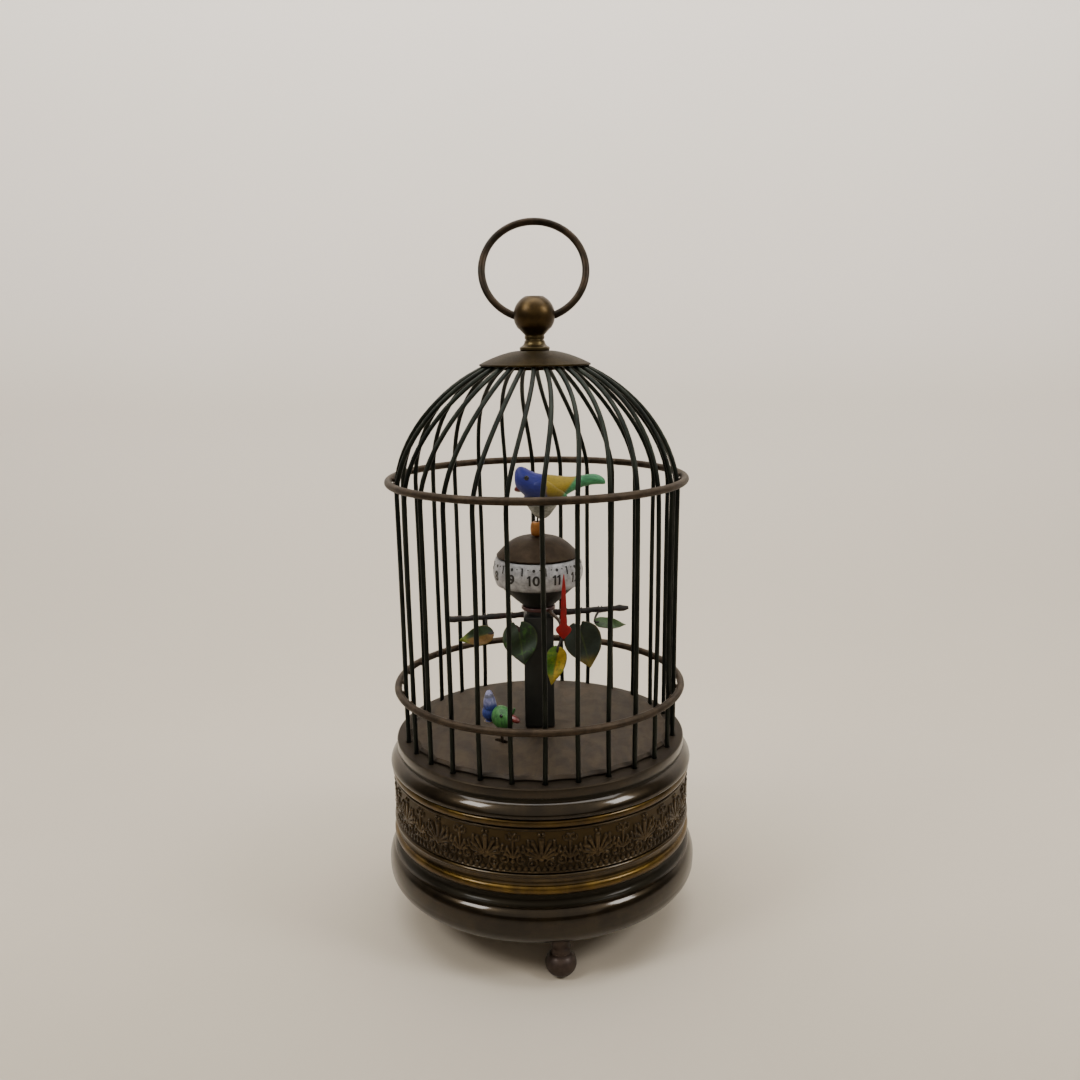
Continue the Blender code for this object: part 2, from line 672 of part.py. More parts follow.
def make_floor():
    points = []
    edge = WIRE_CIRCLE_RADIUS - WIRE_RADIUS - GAP
    for step in range(3 * WIRE_COUNT):
        share = (step % 3) / 3
        angle = WIRE_FIRST_ANGLE + 360.0 * step / (3 * WIRE_COUNT)
        points.append(polar(edge - FLOOR_SCALLOP * math.sin(math.pi * share), angle))
    hole = hole_points(POST_SPIGOT_RADIUS + GAP, SMALL_SIDE_COUNT)
    shape = plate_from(points, floor_bottom, floor_top, [hole])
    shape = drilled(shape, peck_slot(floor_bottom - 1, floor_top + 1))
    make("floor_disc", shape, FLOOR_BROWN, (0, 0, floor_bottom))


# Cage


def wire_route():
    """Centreline of one wire: straight from the deck, then a rather flat arch to the cap."""
    route = [Vector((WIRE_CIRCLE_RADIUS, 0, deck_top - WIRE_TAIL)),
             Vector((dome_radius, 0, DOME_SPRING_HEIGHT))]
    first = math.acos((WIRE_TOP_RADIUS / dome_radius) ** (DOME_FULLNESS / 2))
    steps = 4
    for step in range(1, steps + 1):
        share = step / steps
        angle = first * share
        radius = dome_radius * math.cos(angle) ** (2 / DOME_FULLNESS)
        turn = math.radians(WIRE_TWIST) * share * share * (3 - 2 * share)
        height = dome_height(radius)
        route.append(Vector((radius * math.cos(turn), radius * math.sin(turn), height)))
    return route


def make_cage():
    shape = wire_along(wire_route(), WIRE_RADIUS)
    first = make("cage_wire_01", shape, CAGE_WIRE, sharp=70.0)
    for number, angle in enumerate(wire_angles(), start=1):
        name = f"cage_wire_{number:02d}"
        wire = first if number == 1 else place_object(name, first.data)
        wire.rotation_euler = (0, 0, math.radians(angle))
    for name, height in (("waist_hoop", WAIST_HOOP_HEIGHT), ("dome_hoop", DOME_HOOP_HEIGHT)):
        hoop_radius = wire_reach(height) + WIRE_RADIUS + GAP + HOOP_TUBE_RADIUS
        section = [(hoop_radius + HOOP_TUBE_RADIUS * math.cos(math.tau * step / 6),
                    height + HOOP_TUBE_RADIUS * math.sin(math.tau * step / 6))
                   for step in range(6)]
        make(name, turned(section, WIRE_COUNT, WIRE_FIRST_ANGLE), HOOP_BRASS, (0, 0, height))


def make_cap():
    low = cap_bottom
    edge = low + CAP_EDGE_THICKNESS
    shank_hole = FINIAL_SHANK_RADIUS + GAP
    hub = WIRE_TOP_RADIUS - WIRE_RADIUS * 0.3 - GAP
    profile = [(CAP_RADIUS, low)]
    rings = 3
    for step in range(rings + 1):
        share = step / rings
        radius = CAP_RADIUS - (CAP_RADIUS - CAP_TOP_RADIUS) * share
        profile.append((radius, edge + CAP_RISE * (1 - (1 - share) ** 1.6)))
    groove_roof = dome_height(WIRE_TOP_RADIUS) + WIRE_RADIUS + 2 * GAP
    groove_edge = CAP_RADIUS - 2.0
    groove_low = dome_height(groove_edge) + WIRE_RADIUS * 1.1 + GAP
    profile += [(shank_hole, cap_top), (shank_hole, cap_top - CAP_WALL),
                (hub - CAP_HUB_WALL, groove_roof - 0.1), (hub - CAP_HUB_WALL, low - 1.2),
                (hub, low - 1.2), (hub, groove_roof), (groove_edge, groove_low),
                (groove_edge + 0.3, low)]
    make("cage_cap", turned(profile, CAP_SIDE_COUNT), AGED_BRASS, (0, 0, low))


def make_finial():
    low = finial_bottom
    shank = low - FINIAL_SHANK_LENGTH
    start = -math.acos((FINIAL_NECK_RADIUS - 0.1) / FINIAL_BALL_RADIUS)
    end = math.acos(FINIAL_FLAT_RADIUS / FINIAL_BALL_RADIUS)
    profile = [(0, shank), (FINIAL_SHANK_RADIUS, shank), (FINIAL_SHANK_RADIUS, low),
               (FINIAL_COLLAR_RADIUS, low), (FINIAL_COLLAR_RADIUS - 0.2, low + 0.9),
               (FINIAL_NECK_RADIUS + 0.7, low + 1.8), (FINIAL_NECK_RADIUS, low + 2.9),
               (FINIAL_NECK_RADIUS, ball_height + FINIAL_BALL_RADIUS * math.sin(start) - 0.3)]
    rings = 5
    for step in range(rings + 1):
        angle = start + (end - start) * step / rings
        profile.append((FINIAL_BALL_RADIUS * math.cos(angle),
                        ball_height + FINIAL_BALL_RADIUS * math.sin(angle)))
    profile.append((0, ball_height + FINIAL_BALL_RADIUS * math.sin(end)))
    shape = turned(profile, FINIAL_SIDE_COUNT)
    bore = turned_about(rod(RING_TUBE_RADIUS + GAP + 0.1, -9, 9, HOLE_SIDE_COUNT), 90, "Y")
    shape = drilled(shape, moved(bore, (0, 0, ball_height)))
    make("finial", shape, AGED_BRASS, (0, 0, low))


def ring_route():
    """The ring, with its two ends bent into the ball's cross bore along X."""
    half = math.degrees(math.asin((FINIAL_BALL_RADIUS + 1.9) / RING_RADIUS))
    arc = []
    steps = 18
    for step in range(steps + 1):
        angle = math.radians(half + (360 - 2 * half) * step / steps)
        arc.append(Vector((RING_RADIUS * math.sin(angle), 0,
                           RING_CENTRE_REACH - RING_RADIUS * math.cos(angle))))
    lift = arc[0].z
    ends = []
    for side in (1, -1):
        ends.append([Vector((side * RING_PIN_END, 0, 0)),
                     Vector((side * (FINIAL_BALL_RADIUS + 0.1), 0, 0)),
                     Vector((side * (FINIAL_BALL_RADIUS + 1.0), 0, lift * 0.3))])
    return ends[0] + arc + ends[1][::-1]


def make_ring():
    shape = wire_along(ring_route(), RING_TUBE_RADIUS, 1)
    carrier = anchor("handle_swing", (0, 0, ball_height))
    ring = make("handle_ring", shape, AGED_BRASS, sharp=70.0)
    ring.parent = carrier
    carrier.rotation_euler = (math.radians(-RING_LEAN), 0, 0)


# Post, ball dial and pointer


def make_post():
    middle = (post_bottom + post_top) / 2
    shaft = block((POST_WIDTH, POST_WIDTH, POST_HEIGHT), (0, 0, middle))
    bmesh.ops.bevel(shaft, geom=[edge for edge in shaft.edges
                                 if abs(edge.verts[0].co.z - edge.verts[1].co.z) > 1],
                    offset=0.5, segments=1, profile=0.5, affect="EDGES", material=-1)
    neck = rod(POST_NECK_RADIUS, post_top - 1, neck_top, SMALL_SIDE_COUNT)
    foot = rod(POST_SPIGOT_RADIUS, deck_top - DECK_THICKNESS, post_bottom + 1, SMALL_SIDE_COUNT)
    shape = soldered(shaft, neck, foot)
    bore = rod(bore_radius, deck_top - 9, neck_top + 9, SMALL_SIDE_COUNT)
    make("centre_post", drilled(shape, bore), POST_PAINT, (0, 0, post_bottom))


def make_bowl():
    low = bowl_bottom
    high = bowl_top
    wall = 1.0
    profile = [(bore_radius, low), (BOWL_FOOT_RADIUS, low)]
    steps = 3
    for step in range(1, steps + 1):
        share = step / steps
        radius = BOWL_FOOT_RADIUS + (BOWL_RADIUS - BOWL_FOOT_RADIUS) * math.sin(share * math.pi / 2)
        profile.append((radius, low + (high - low) * share ** 1.15))
    profile += [(BOWL_RADIUS - wall, high), (BOWL_RADIUS - wall - 2.5, low + 3.4),
                (bore_radius + 2.2, low + 1.6), (bore_radius, low + 1.6)]
    make("globe_bowl", turned(profile, DIAL_SIDE_COUNT), POST_PAINT, (0, 0, low))


def make_dial(carrier):
    low = band_bottom
    high = band_top
    seat = HOUR_TUBE_RADIUS + GAP
    outer = []
    inner = []
    steps = 4
    for step in range(steps + 1):
        share = step / steps
        bulge = BAND_BULGE * math.sin(math.pi * share)
        outer.append((BAND_EDGE_RADIUS + bulge, low + BAND_HEIGHT * share))
    for step in range(3):
        share = 1 - step / 2
        bulge = BAND_BULGE * math.sin(math.pi * share)
        inner.append((BAND_EDGE_RADIUS + bulge - BAND_WALL,
                      low + 1 + (BAND_HEIGHT - 1) * share))
    hub = [(seat + 1.6, low + 1), (seat + 1.6, low + 2.4), (seat, low + 2.4), (seat, low)]
    make("hour_band", turned(outer + inner + hub, DIAL_SIDE_COUNT), DIAL_WHITE, (0, 0, low), carrier)

    low = crown_bottom
    high = crown_top
    lip = BAND_EDGE_RADIUS - BAND_WALL - GAP
    steps = 4
    profile = [(lip, low - 1.2), (lip, low), (CROWN_RADIUS, low), (CROWN_RADIUS, low + 0.5)]
    for step in range(1, steps + 1):
        share = step / steps
        radius = CROWN_TOP_RADIUS + (CROWN_RADIUS - CROWN_TOP_RADIUS) * (1 - share) ** 0.8
        profile.append((radius, low + 0.5 + (CROWN_HEIGHT - 0.5) * math.sin(share * math.pi / 2)))
    rod_hole = ROD_RADIUS + GAP
    profile += [(rod_hole, high), (rod_hole, high - CROWN_WALL),
                (CROWN_TOP_RADIUS + 0.6, high - CROWN_WALL - 0.2),
                (CROWN_RADIUS * 0.62, low + CROWN_HEIGHT * 0.55), (lip - 0.9, low + 0.4),
                (lip - 0.9, low - 1.2)]
    make("globe_crown", turned(profile, DIAL_SIDE_COUNT), CROWN_BROWN, (0, 0, low), carrier)


def flat_blade(length, widths, thickness):
    """Thin blade along X from 0 to length, with half widths at even steps."""
    last = len(widths) - 1
    return lofted([(length * step / last, 0, half, thickness / 2)
                   for step, half in enumerate(widths)], 4)


def pointing(shape, start, end, facing):
    """Turn a flat shape that runs along X so that it runs from start to end, facing a way."""
    along = (Vector(end) - Vector(start)).normalized()
    across = Vector(facing).cross(along).normalized()
    outward = along.cross(across)
    turn = Matrix((along, across, outward)).transposed()
    bmesh.ops.rotate(shape, verts=shape.verts, cent=(0, 0, 0), matrix=turn)
    return moved(shape, start)


def make_pointer():
    tip_reach = BAND_EDGE_RADIUS + BAND_BULGE + POINTER_TIP_STANDOFF
    heel = polar(POINTER_HEEL_REACH, POINTER_HEEL_ANGLE).to_3d()
    heel.z = post_top - POINTER_HEEL_DROP
    tip = polar(tip_reach, POINTER_TIP_ANGLE).to_3d()
    tip.z = band_bottom + POINTER_TIP_RISE
    length = (tip - heel).length
    widths = (0.3, 2.3, 1.9, 0.9, 0.8, 0.6, 0.2)
    blade = flat_blade(length, widths, POINTER_THICKNESS)
    blade = pointing(blade, heel, tip, (0, -1, 0))
    inner = (POST_NECK_RADIUS + GAP) / math.cos(math.pi / SMALL_SIDE_COUNT)
    low = post_top + 3 * GAP
    collar = pipe(inner + POINTER_COLLAR_THICKNESS, inner, low, low + POINTER_COLLAR_HEIGHT)
    side = polar(inner + POINTER_COLLAR_THICKNESS / 2, -50)
    arm = wire_along([(side.x, side.y, low + 0.5), (side.x + 1.0, side.y - 1.6, low),
                      (heel.x - 0.4, heel.y + 1.6, (low + heel.z) / 2),
                      (heel.x, heel.y + 0.1, heel.z + 1.4)], 0.5)
    shape = soldered(collar, arm, blade)
    make("time_pointer", shape, POINTER_RED, (0, 0, low))


# Branch and leaves


def twig_height(along):
    share = (along - TWIG_LEFT) / (TWIG_RIGHT - TWIG_LEFT)
    return twig_middle + TWIG_RISE * (share - 0.5)


def make_branch():
    depth = POST_WIDTH / 2 + GAP + TWIG_RADIUS + 0.15
    route = []
    steps = 7
    for step in range(steps + 1):
        along = TWIG_LEFT + (TWIG_RIGHT - TWIG_LEFT) * step / steps
        sway = 0.25 * math.sin(2.3 * step)
        route.append((along, depth + abs(sway), twig_height(along) + sway))
    pieces = [wire_along(route, TWIG_RADIUS)]
    # Each leaf: where its stem leaves the twig; stem bend, base and tip, with heights from the
    # middle of the twig; half width; way it faces
    leaves = (
        (-17.7, (-17.2, 3.0, -3.2), (-15.2, 0.5, -4.7), (-26.4, 0.0, -7.0), 3.3, (0, -1, 0.4)),
        (-9.5, (-9.0, 0.0, -1.4), (-6.6, -5.8, -1.2), (-4.8, -7.6, -13.2), 5.8, (0, -1, 0)),
        (9.0, (8.9, -1.0, -2.4), (6.3, -6.6, -7.6), (4.0, -7.4, -20.4), 3.6, (0, -1, 0)),
        (13.9, (13.6, 1.5, -0.8), (13.3, -2.5, -2.0), (17.0, -4.0, -15.8), 6.3, (0, -1, 0)),
        (20.7, (19.2, 3.9, -0.4), (18.7, 1.3, -1.6), (29.0, 0.5, -2.4), 2.4, (0, -0.8, 1)),
    )
    lift = Vector((0, 0, twig_middle))
    for root, *spots, half_width, facing in leaves:
        bend, base, tip = [Vector(spot) + lift for spot in spots]
        stem_root = (root, depth, twig_height(root))
        inside = base.lerp(tip, 0.12)
        pieces.append(wire_along([stem_root, bend, base, inside], STEM_RADIUS, 0))
        widths = [half_width * share for share in (0.25, 0.95, 0.97, 0.6, 0.06)]
        length = (tip - base).length
        blade = flat_blade(length, widths, LEAF_THICKNESS)
        pieces.append(pointing(blade, base, tip, facing))
    make("leafy_branch", soldered(*pieces), LEAF_GREEN, (0, depth, twig_middle))


# Birds


def bird_body(length, tilt):
    """Bird along X with its tail at the far end; sizes are shares of the length."""
    stations = (
        (0.000, 0.085, 0.010, 0.020), (0.035, 0.100, 0.045, 0.060), (0.060, 0.150, 0.085, 0.120),
        (0.110, 0.175, 0.115, 0.165), (0.190, 0.160, 0.130, 0.180), (0.300, 0.130, 0.150, 0.165),
        (0.420, 0.125, 0.145, 0.150), (0.540, 0.140, 0.115, 0.120), (0.660, 0.155, 0.075, 0.085),
        (0.780, 0.180, 0.060, 0.052), (0.900, 0.215, 0.052, 0.036), (0.980, 0.205, 0.030, 0.020),
    )
    shape = lofted([tuple(length * value for value in row) for row in stations], HOLE_SIDE_COUNT)
    return turned_about(shape, tilt, "Y")


def make_top_bird(carrier):
    seat = bead_top + GAP
    body = bird_body(TOP_BIRD_LENGTH, 0)
    left = -8.5
    lift = bead_top + 6.4
    body = moved(body, (left, 0, lift))
    belly = turned([(0, seat - BEAD_BORE_DEPTH + GAP), (BEAD_BORE_RADIUS - GAP,
                     seat - BEAD_BORE_DEPTH + GAP), (BEAD_BORE_RADIUS - GAP, seat),
                    (1.5, seat + 0.1), (2.4, seat + 2.4), (4.0, seat + 5.0), (3.6, seat + 7.6),
                    (0, seat + 8.2)], HOLE_SIDE_COUNT)
    make("top_bird", soldered(body, belly), BIRD_BLUE, (0, 0, seat), carrier)


def make_floor_bird(carrier):
    x, y = peck_place
    yaw = peck_angle + 90.0
    body_height = floor_top + FLOOR_BIRD_RISE
    body = bird_body(FLOOR_BIRD_LENGTH, 0)
    body = turned_about(body, 180, "Z")
    body = moved(body, (FLOOR_BIRD_LENGTH * 0.36, 0, 0))
    body = turned_about(body, 42, "Y")
    body = moved(turned_about(body, yaw, "Z"), (x, y, body_height))
    leg = wire_along([(x, y, body_height + 2.0), (x, y, prong_height)], LEG_RADIUS)
    inward = -polar(1.0, peck_angle)
    across = polar(1.0, yaw)
    half = FINGER_WIRE_RADIUS + LEG_RADIUS + 2 * GAP
    reach = peck_place.length - FINGER_RADIUS + 1.6
    base = Vector((x, y, prong_height))
    pieces = [body, leg]
    bar_end = Vector((across.x, across.y, 0)) * (half + LEG_RADIUS * 0.4)
    pieces.append(wire_along([base - bar_end, base + bar_end], LEG_RADIUS))
    for side in (-1, 1):
        root = base + Vector((across.x, across.y, 0)) * (side * half)
        far = root + Vector((inward.x, inward.y, 0)) * reach
        pieces.append(wire_along([root, far], LEG_RADIUS))
    pin = Vector((inward.x, inward.y, 0)) * 3.4
    axis_point = Vector((x, y, peck_axis_height))
    pieces.append(wire_along([axis_point - pin, axis_point + pin], LEG_RADIUS))
    origin = (x, y, peck_axis_height)
    make("floor_bird", soldered(*pieces), BIRD_GREEN, origin, carrier)


# Movement


def arbor(place):
    return rod(ARBOR_RADIUS, lower_plate_bottom + 0.2, upper_plate_top - 0.2, HOLE_SIDE_COUNT, place)


def plate_outline():
    return ring_points(PLATE_RADIUS, PLATE_SIDE_COUNT)


def arc_slot(radius, half_width, middle, half_angle):
    steps = 8
    angles = [middle - half_angle + 2 * half_angle * step / steps for step in range(steps + 1)]
    outer = [polar(radius + half_width, angle) for angle in angles]
    inner = [polar(radius - half_width, angle) for angle in reversed(angles)]
    return outer + inner


def make_plates():
    pivot = ARBOR_RADIUS + GAP
    holes = [(place, pivot) for place in (third_place, escape_place, pallet_place, balance_place)]
    holes.append((barrel_place, BARREL_ARBOR_RADIUS + GAP))
    lower_holes = holes + [((0, 0), ROD_RADIUS + GAP), (knob_place, KNOB_STEM_RADIUS + GAP)]
    upper_holes = holes + [((0, 0), HOUR_TUBE_RADIUS + GAP), (knob_place, ARBOR_RADIUS + GAP)]
    pillars = [polar(PILLAR_CIRCLE_RADIUS, angle) for angle in PILLAR_ANGLES]
    tenon = PILLAR_RADIUS - 0.8
    upper_holes += [(place, tenon + GAP) for place in pillars]

    loops = [hole_points(size, BORE_SIDE_COUNT, place) for place, size in lower_holes]
    shape = plate_from(plate_outline(), lower_plate_bottom, lower_plate_top, loops)
    for place in pillars:
        profile = [(0, cover_top + GAP), (PILLAR_RADIUS, cover_top + GAP),
                   (PILLAR_RADIUS, upper_plate_bottom - GAP), (tenon, upper_plate_bottom - GAP),
                   (tenon, upper_plate_top + 1.2), (0, upper_plate_top + 1.2)]
        pillar = moved(turned(profile, BORE_SIDE_COUNT), (place.x, place.y, 0))
        shape = soldered(shape, pillar)
    make("lower_plate", shape, MOVEMENT_BRASS, (0, 0, lower_plate_bottom))

    loops = [hole_points(size, BORE_SIDE_COUNT, place) for place, size in upper_holes]
    swing = BIRD_TURN + math.degrees((FINGER_WIRE_RADIUS + 2 * GAP) / FINGER_RADIUS)
    loops.append(arc_slot(FINGER_RADIUS, FINGER_WIRE_RADIUS + 2 * GAP, peck_angle, swing))
    shape = plate_from(plate_outline(), upper_plate_bottom, upper_plate_top, loops)
    make("upper_plate", shape, MOVEMENT_BRASS, (0, 0, upper_plate_bottom))


def make_barrel(carrier):
    low = heavy_level
    top = low + WHEEL_THICKNESS
    bore = BARREL_ARBOR_RADIUS + GAP
    hole = hole_points(bore, HOLE_SIDE_COUNT, barrel_place)
    wheel = plate_from(gear_points(BARREL_TEETH, MODULE_HEAVY, BARREL_ANGLE + 180, barrel_place),
                       low, top, [hole])
    drum_top = drum_bottom + BARREL_DRUM_HEIGHT
    lid = BARREL_DRUM_RADIUS - 0.6
    profile = [(bore, top - 0.5), (lid, top - 0.5), (lid, top + 0.5),
               (BARREL_DRUM_RADIUS, top + 0.8), (BARREL_DRUM_RADIUS, drum_top), (bore, drum_top)]
    drum = turned(profile, FINIAL_SIDE_COUNT)
    shape = soldered(wheel, moved(drum, (barrel_place.x, barrel_place.y, 0)))
    make("mainspring_barrel", shape, MOVEMENT_BRASS, (*barrel_place, low), carrier)


def make_key(carrier):
    collar_low = lower_plate_top + GAP
    collar_high = heavy_level - GAP
    hub_top = cover_bottom - GAP
    hub_low = hub_top - KEY_HUB_LENGTH
    collar = BARREL_ARBOR_RADIUS + 1.2
    profile = [(0, hub_low), (KEY_HUB_RADIUS - 0.5, hub_low), (KEY_HUB_RADIUS, hub_low + 0.6),
               (KEY_HUB_RADIUS, hub_top), (BARREL_ARBOR_RADIUS, hub_top),
               (BARREL_ARBOR_RADIUS, collar_low), (collar, collar_low), (collar, collar_high),
               (BARREL_ARBOR_RADIUS, collar_high), (BARREL_ARBOR_RADIUS, upper_plate_top - 0.2),
               (0, upper_plate_top - 0.2)]
    shaft = turned(profile, SHAFT_SIDE_COUNT)
    half = KEY_BOW_WIDTH / 4
    wings = []
    for side in (-1, 1):
        wing = rod(1.0, -KEY_BOW_THICKNESS / 2, KEY_BOW_THICKNESS / 2)
        bmesh.ops.scale(wing, verts=wing.verts, vec=(half, KEY_BOW_HEIGHT / 2, 1))
        wing = turned_about(wing, 90, "X")
        wings.append(moved(wing, (side * half, 0, hub_low + KEY_BOW_HEIGHT / 2 - 1.6)))
    shape = soldered(shaft, *wings)
    shape = moved(shape, (barrel_place.x, barrel_place.y, 0))
    make("winding_key", shape, MOVEMENT_STEEL, (*barrel_place, hub_low), carrier)


def make_hour_arbor(carrier):
    inner = HOUR_TUBE_RADIUS - HOUR_TUBE_WALL
    low = heavy_level
    tooth_angle = meshing_angle(BARREL_ANGLE + 180, BARREL_ANGLE + 180, BARREL_TEETH, HOUR_TEETH)
    hole = ring_points(HOUR_TUBE_RADIUS - 0.2, SHAFT_SIDE_COUNT)
    wheel = plate_from(gear_points(HOUR_TEETH, MODULE_HEAVY, tooth_angle), low,
                       low + WHEEL_THICKNESS, [hole])
    tube_top = band_bottom + 2.4
    collar_low = upper_plate_top + GAP
    profile = [(inner, low - 1.2), (HOUR_TUBE_RADIUS, low - 1.2), (HOUR_TUBE_RADIUS, collar_low),
               (HOUR_TUBE_RADIUS + 1.2, collar_low), (HOUR_TUBE_RADIUS + 1.2, collar_low + 1.2),
               (HOUR_TUBE_RADIUS, collar_low + 1.2), (HOUR_TUBE_RADIUS, tube_top),
               (inner, tube_top)]
    shape = soldered(turned(profile, SHAFT_SIDE_COUNT), wheel)
    make("hour_arbor", shape, MOVEMENT_BRASS, (0, 0, low), carrier)
    return tooth_angle


def make_knob(carrier, hour_tooth_angle):
    tooth_angle = meshing_angle(KNOB_ANGLE, hour_tooth_angle, HOUR_TEETH, KNOB_TEETH)
    low = heavy_level - 0.3
    pinion = plate_from(gear_points(KNOB_TEETH, MODULE_HEAVY, tooth_angle, knob_place), low,
                        low + WHEEL_THICKNESS + 0.6)
    knob_top = cover_bottom - GAP
    knob_low = knob_top - KNOB_HEIGHT
    collar = KNOB_STEM_RADIUS + 1.0
    profile = [(0, knob_low), (KNOB_RADIUS - 0.6, knob_low), (KNOB_RADIUS, knob_low + 0.6),
               (KNOB_RADIUS, knob_top - 0.9), (KNOB_RADIUS - 2.4, knob_top),
               (KNOB_STEM_RADIUS, knob_top), (KNOB_STEM_RADIUS, lower_plate_top + GAP),
               (collar, lower_plate_top + GAP), (collar, lower_plate_top + GAP + 1.0),
               (KNOB_STEM_RADIUS, lower_plate_top + GAP + 1.0), (KNOB_STEM_RADIUS, low + 0.5),
               (ARBOR_RADIUS, low + 0.5), (ARBOR_RADIUS, upper_plate_top - 0.2),
               (0, upper_plate_top - 0.2)]
    stem = moved(turned(profile, SHAFT_SIDE_COUNT), (knob_place.x, knob_place.y, 0))
    flutes = [rod(0.8, knob_low - 1, knob_top + 1, 4,
                  Vector(knob_place) + polar(KNOB_RADIUS + 0.1, 60 * step)) for step in range(6)]
    stem = drilled(stem, together(flutes))
    make("setting_knob", soldered(stem, pinion), MOVEMENT_BRASS, (*knob_place, knob_low), carrier)


def make_third(carrier):
    driver_angle = BARREL_ANGLE + 180
    tooth_angle = meshing_angle(THIRD_DIRECTION, driver_angle, BARREL_TEETH, PINION_TEETH)
    pinion = plate_from(gear_points(PINION_TEETH, MODULE_HEAVY, tooth_angle, third_place),
                        heavy_level - 0.3, heavy_level + WHEEL_THICKNESS)
    wheel = plate_from(gear_points(THIRD_TEETH, MODULE_LIGHT, ESCAPE_DIRECTION, third_place),
                       light_level, light_level + WHEEL_THICKNESS - 0.3)
    shape = soldered(arbor(third_place), pinion, wheel)
    make("third_wheel", shape, MOVEMENT_BRASS, (*third_place, light_level), carrier)


def make_escape(carrier):
    tooth_angle = meshing_angle(ESCAPE_DIRECTION, ESCAPE_DIRECTION, THIRD_TEETH, PINION_TEETH)
    pinion = plate_from(gear_points(PINION_TEETH, MODULE_LIGHT, tooth_angle, escape_place),
                        light_level - 0.3, light_level + WHEEL_THICKNESS)
    points = []
    for tooth in range(ESCAPE_TEETH):
        middle = 360.0 * tooth / ESCAPE_TEETH
        for share, radius in ((-0.42, 0.72), (0.34, 1.0), (0.45, 0.97)):
            points.append(escape_place + polar(ESCAPE_RADIUS * radius,
                                               middle + share * 360.0 / ESCAPE_TEETH))
    wheel = plate_from(points, escape_level, escape_level + 1.0)
    shape = soldered(arbor(escape_place), pinion, wheel)
    make("escape_wheel", shape, MOVEMENT_BRASS, (*escape_place, escape_level), carrier)


def make_pallets(carrier):
    """Pallet lever: claws round the escape wheel above, long fork to the bird's crank below."""
    to_escape = math.degrees(math.atan2(escape_place.y - pallet_place.y,
                                        escape_place.x - pallet_place.x))
    safe = ESCAPE_RADIUS + PALLET_CLEARANCE
    claw_points = [pallet_place + polar(1.8, to_escape + 180)]
    for side in (-1, 1):
        claw = [escape_place + polar(safe + extra, to_escape + 180 + side * spread)
                for spread, extra in ((12, 1.2), (52, 1.2), (52, 0.0), (14, 0.0))]
        claw_points += claw if side < 0 else claw[::-1]
    anchor_plate = plate_from(claw_points, escape_level, escape_level + 1.0)
    reach = pallet_reach - CRANK_RADIUS
    half_slot = CRANK_PIN_RADIUS + FORK_PLAY
    root = reach - 3.0
    tip = reach + 1.4
    half = half_slot + 1.1
    fork = [(-1.6, -1.0), (root - 2.0, -0.8), (root - 0.6, -half), (tip, -half),
            (tip, -half_slot), (root, -half_slot), (root, half_slot), (tip, half_slot),
            (tip, half), (root - 0.6, half), (root - 2.0, 0.8), (-1.6, 1.0)]
    turn = Matrix.Rotation(math.radians(pallet_angle + 180), 2)
    fork = [pallet_place + turn @ Vector(point) for point in fork]
    arm = plate_from(fork, fork_level, fork_level + 1.0)
    shape = soldered(arbor(pallet_place), anchor_plate, arm)
    make("pallet_lever", shape, MOVEMENT_STEEL, (*pallet_place, fork_level), carrier)


def make_balance(carrier):
    low = balance_level
    rim = pipe(BALANCE_RADIUS, BALANCE_RADIUS - BALANCE_RIM, low, low + 1.4, CAP_SIDE_COUNT,
               balance_place)
    spoke = block((2 * BALANCE_RADIUS - BALANCE_RIM, 1.4, 0.8),
                  (balance_place.x, balance_place.y, low + 0.7), BALANCE_DIRECTION)
    roller = rod(2.2, escape_level, escape_level + 1.0, SMALL_SIDE_COUNT, balance_place)
    shape = soldered(arbor(balance_place), rim, spoke, roller)
    make("balance_wheel", shape, MOVEMENT_BRASS, (*balance_place, low), carrier)


def make_bird_rod(carrier):
    """Upright rod through the hour tube: bead on top, crank with pin and finger below."""
    hub_low = lower_plate_top + GAP
    hub_high = crank_level + 1.2
    profile = [(0, lower_plate_bottom + 0.2), (ROD_RADIUS, lower_plate_bottom + 0.2),
               (ROD_RADIUS, hub_low), (ROD_RADIUS + 1.3, hub_low), (ROD_RADIUS + 1.3, hub_high),
               (ROD_RADIUS, hub_high), (ROD_RADIUS, bead_bottom),
               (BEAD_SOCKET_RADIUS - 0.4, bead_bottom), (BEAD_SOCKET_RADIUS, bead_bottom + 0.9),
               (BEAD_SOCKET_RADIUS, bead_top - 0.9), (BEAD_SOCKET_RADIUS - 0.4, bead_top),
               (BEAD_BORE_RADIUS, bead_top), (BEAD_BORE_RADIUS, bead_top - BEAD_BORE_DEPTH),
               (0, bead_top - BEAD_BORE_DEPTH)]
    pieces = [turned(profile, SHAFT_SIDE_COUNT)]
    for radius, angle, top in ((CRANK_RADIUS, pallet_angle, fork_level + 1.3),
                               (FINGER_RADIUS, peck_angle, finger_top)):
        middle = polar(radius / 2, angle)
        arm = block((radius, 1.6, 1.0), (middle.x, middle.y, crank_level + 0.5), angle)
        spot = polar(radius, angle)
        pieces += [arm, rod(CRANK_PIN_RADIUS, crank_level, top, HOLE_SIDE_COUNT, spot)]
    make("bird_rod", soldered(*pieces), BEAD_COPPER, (0, 0, hub_low), carrier)


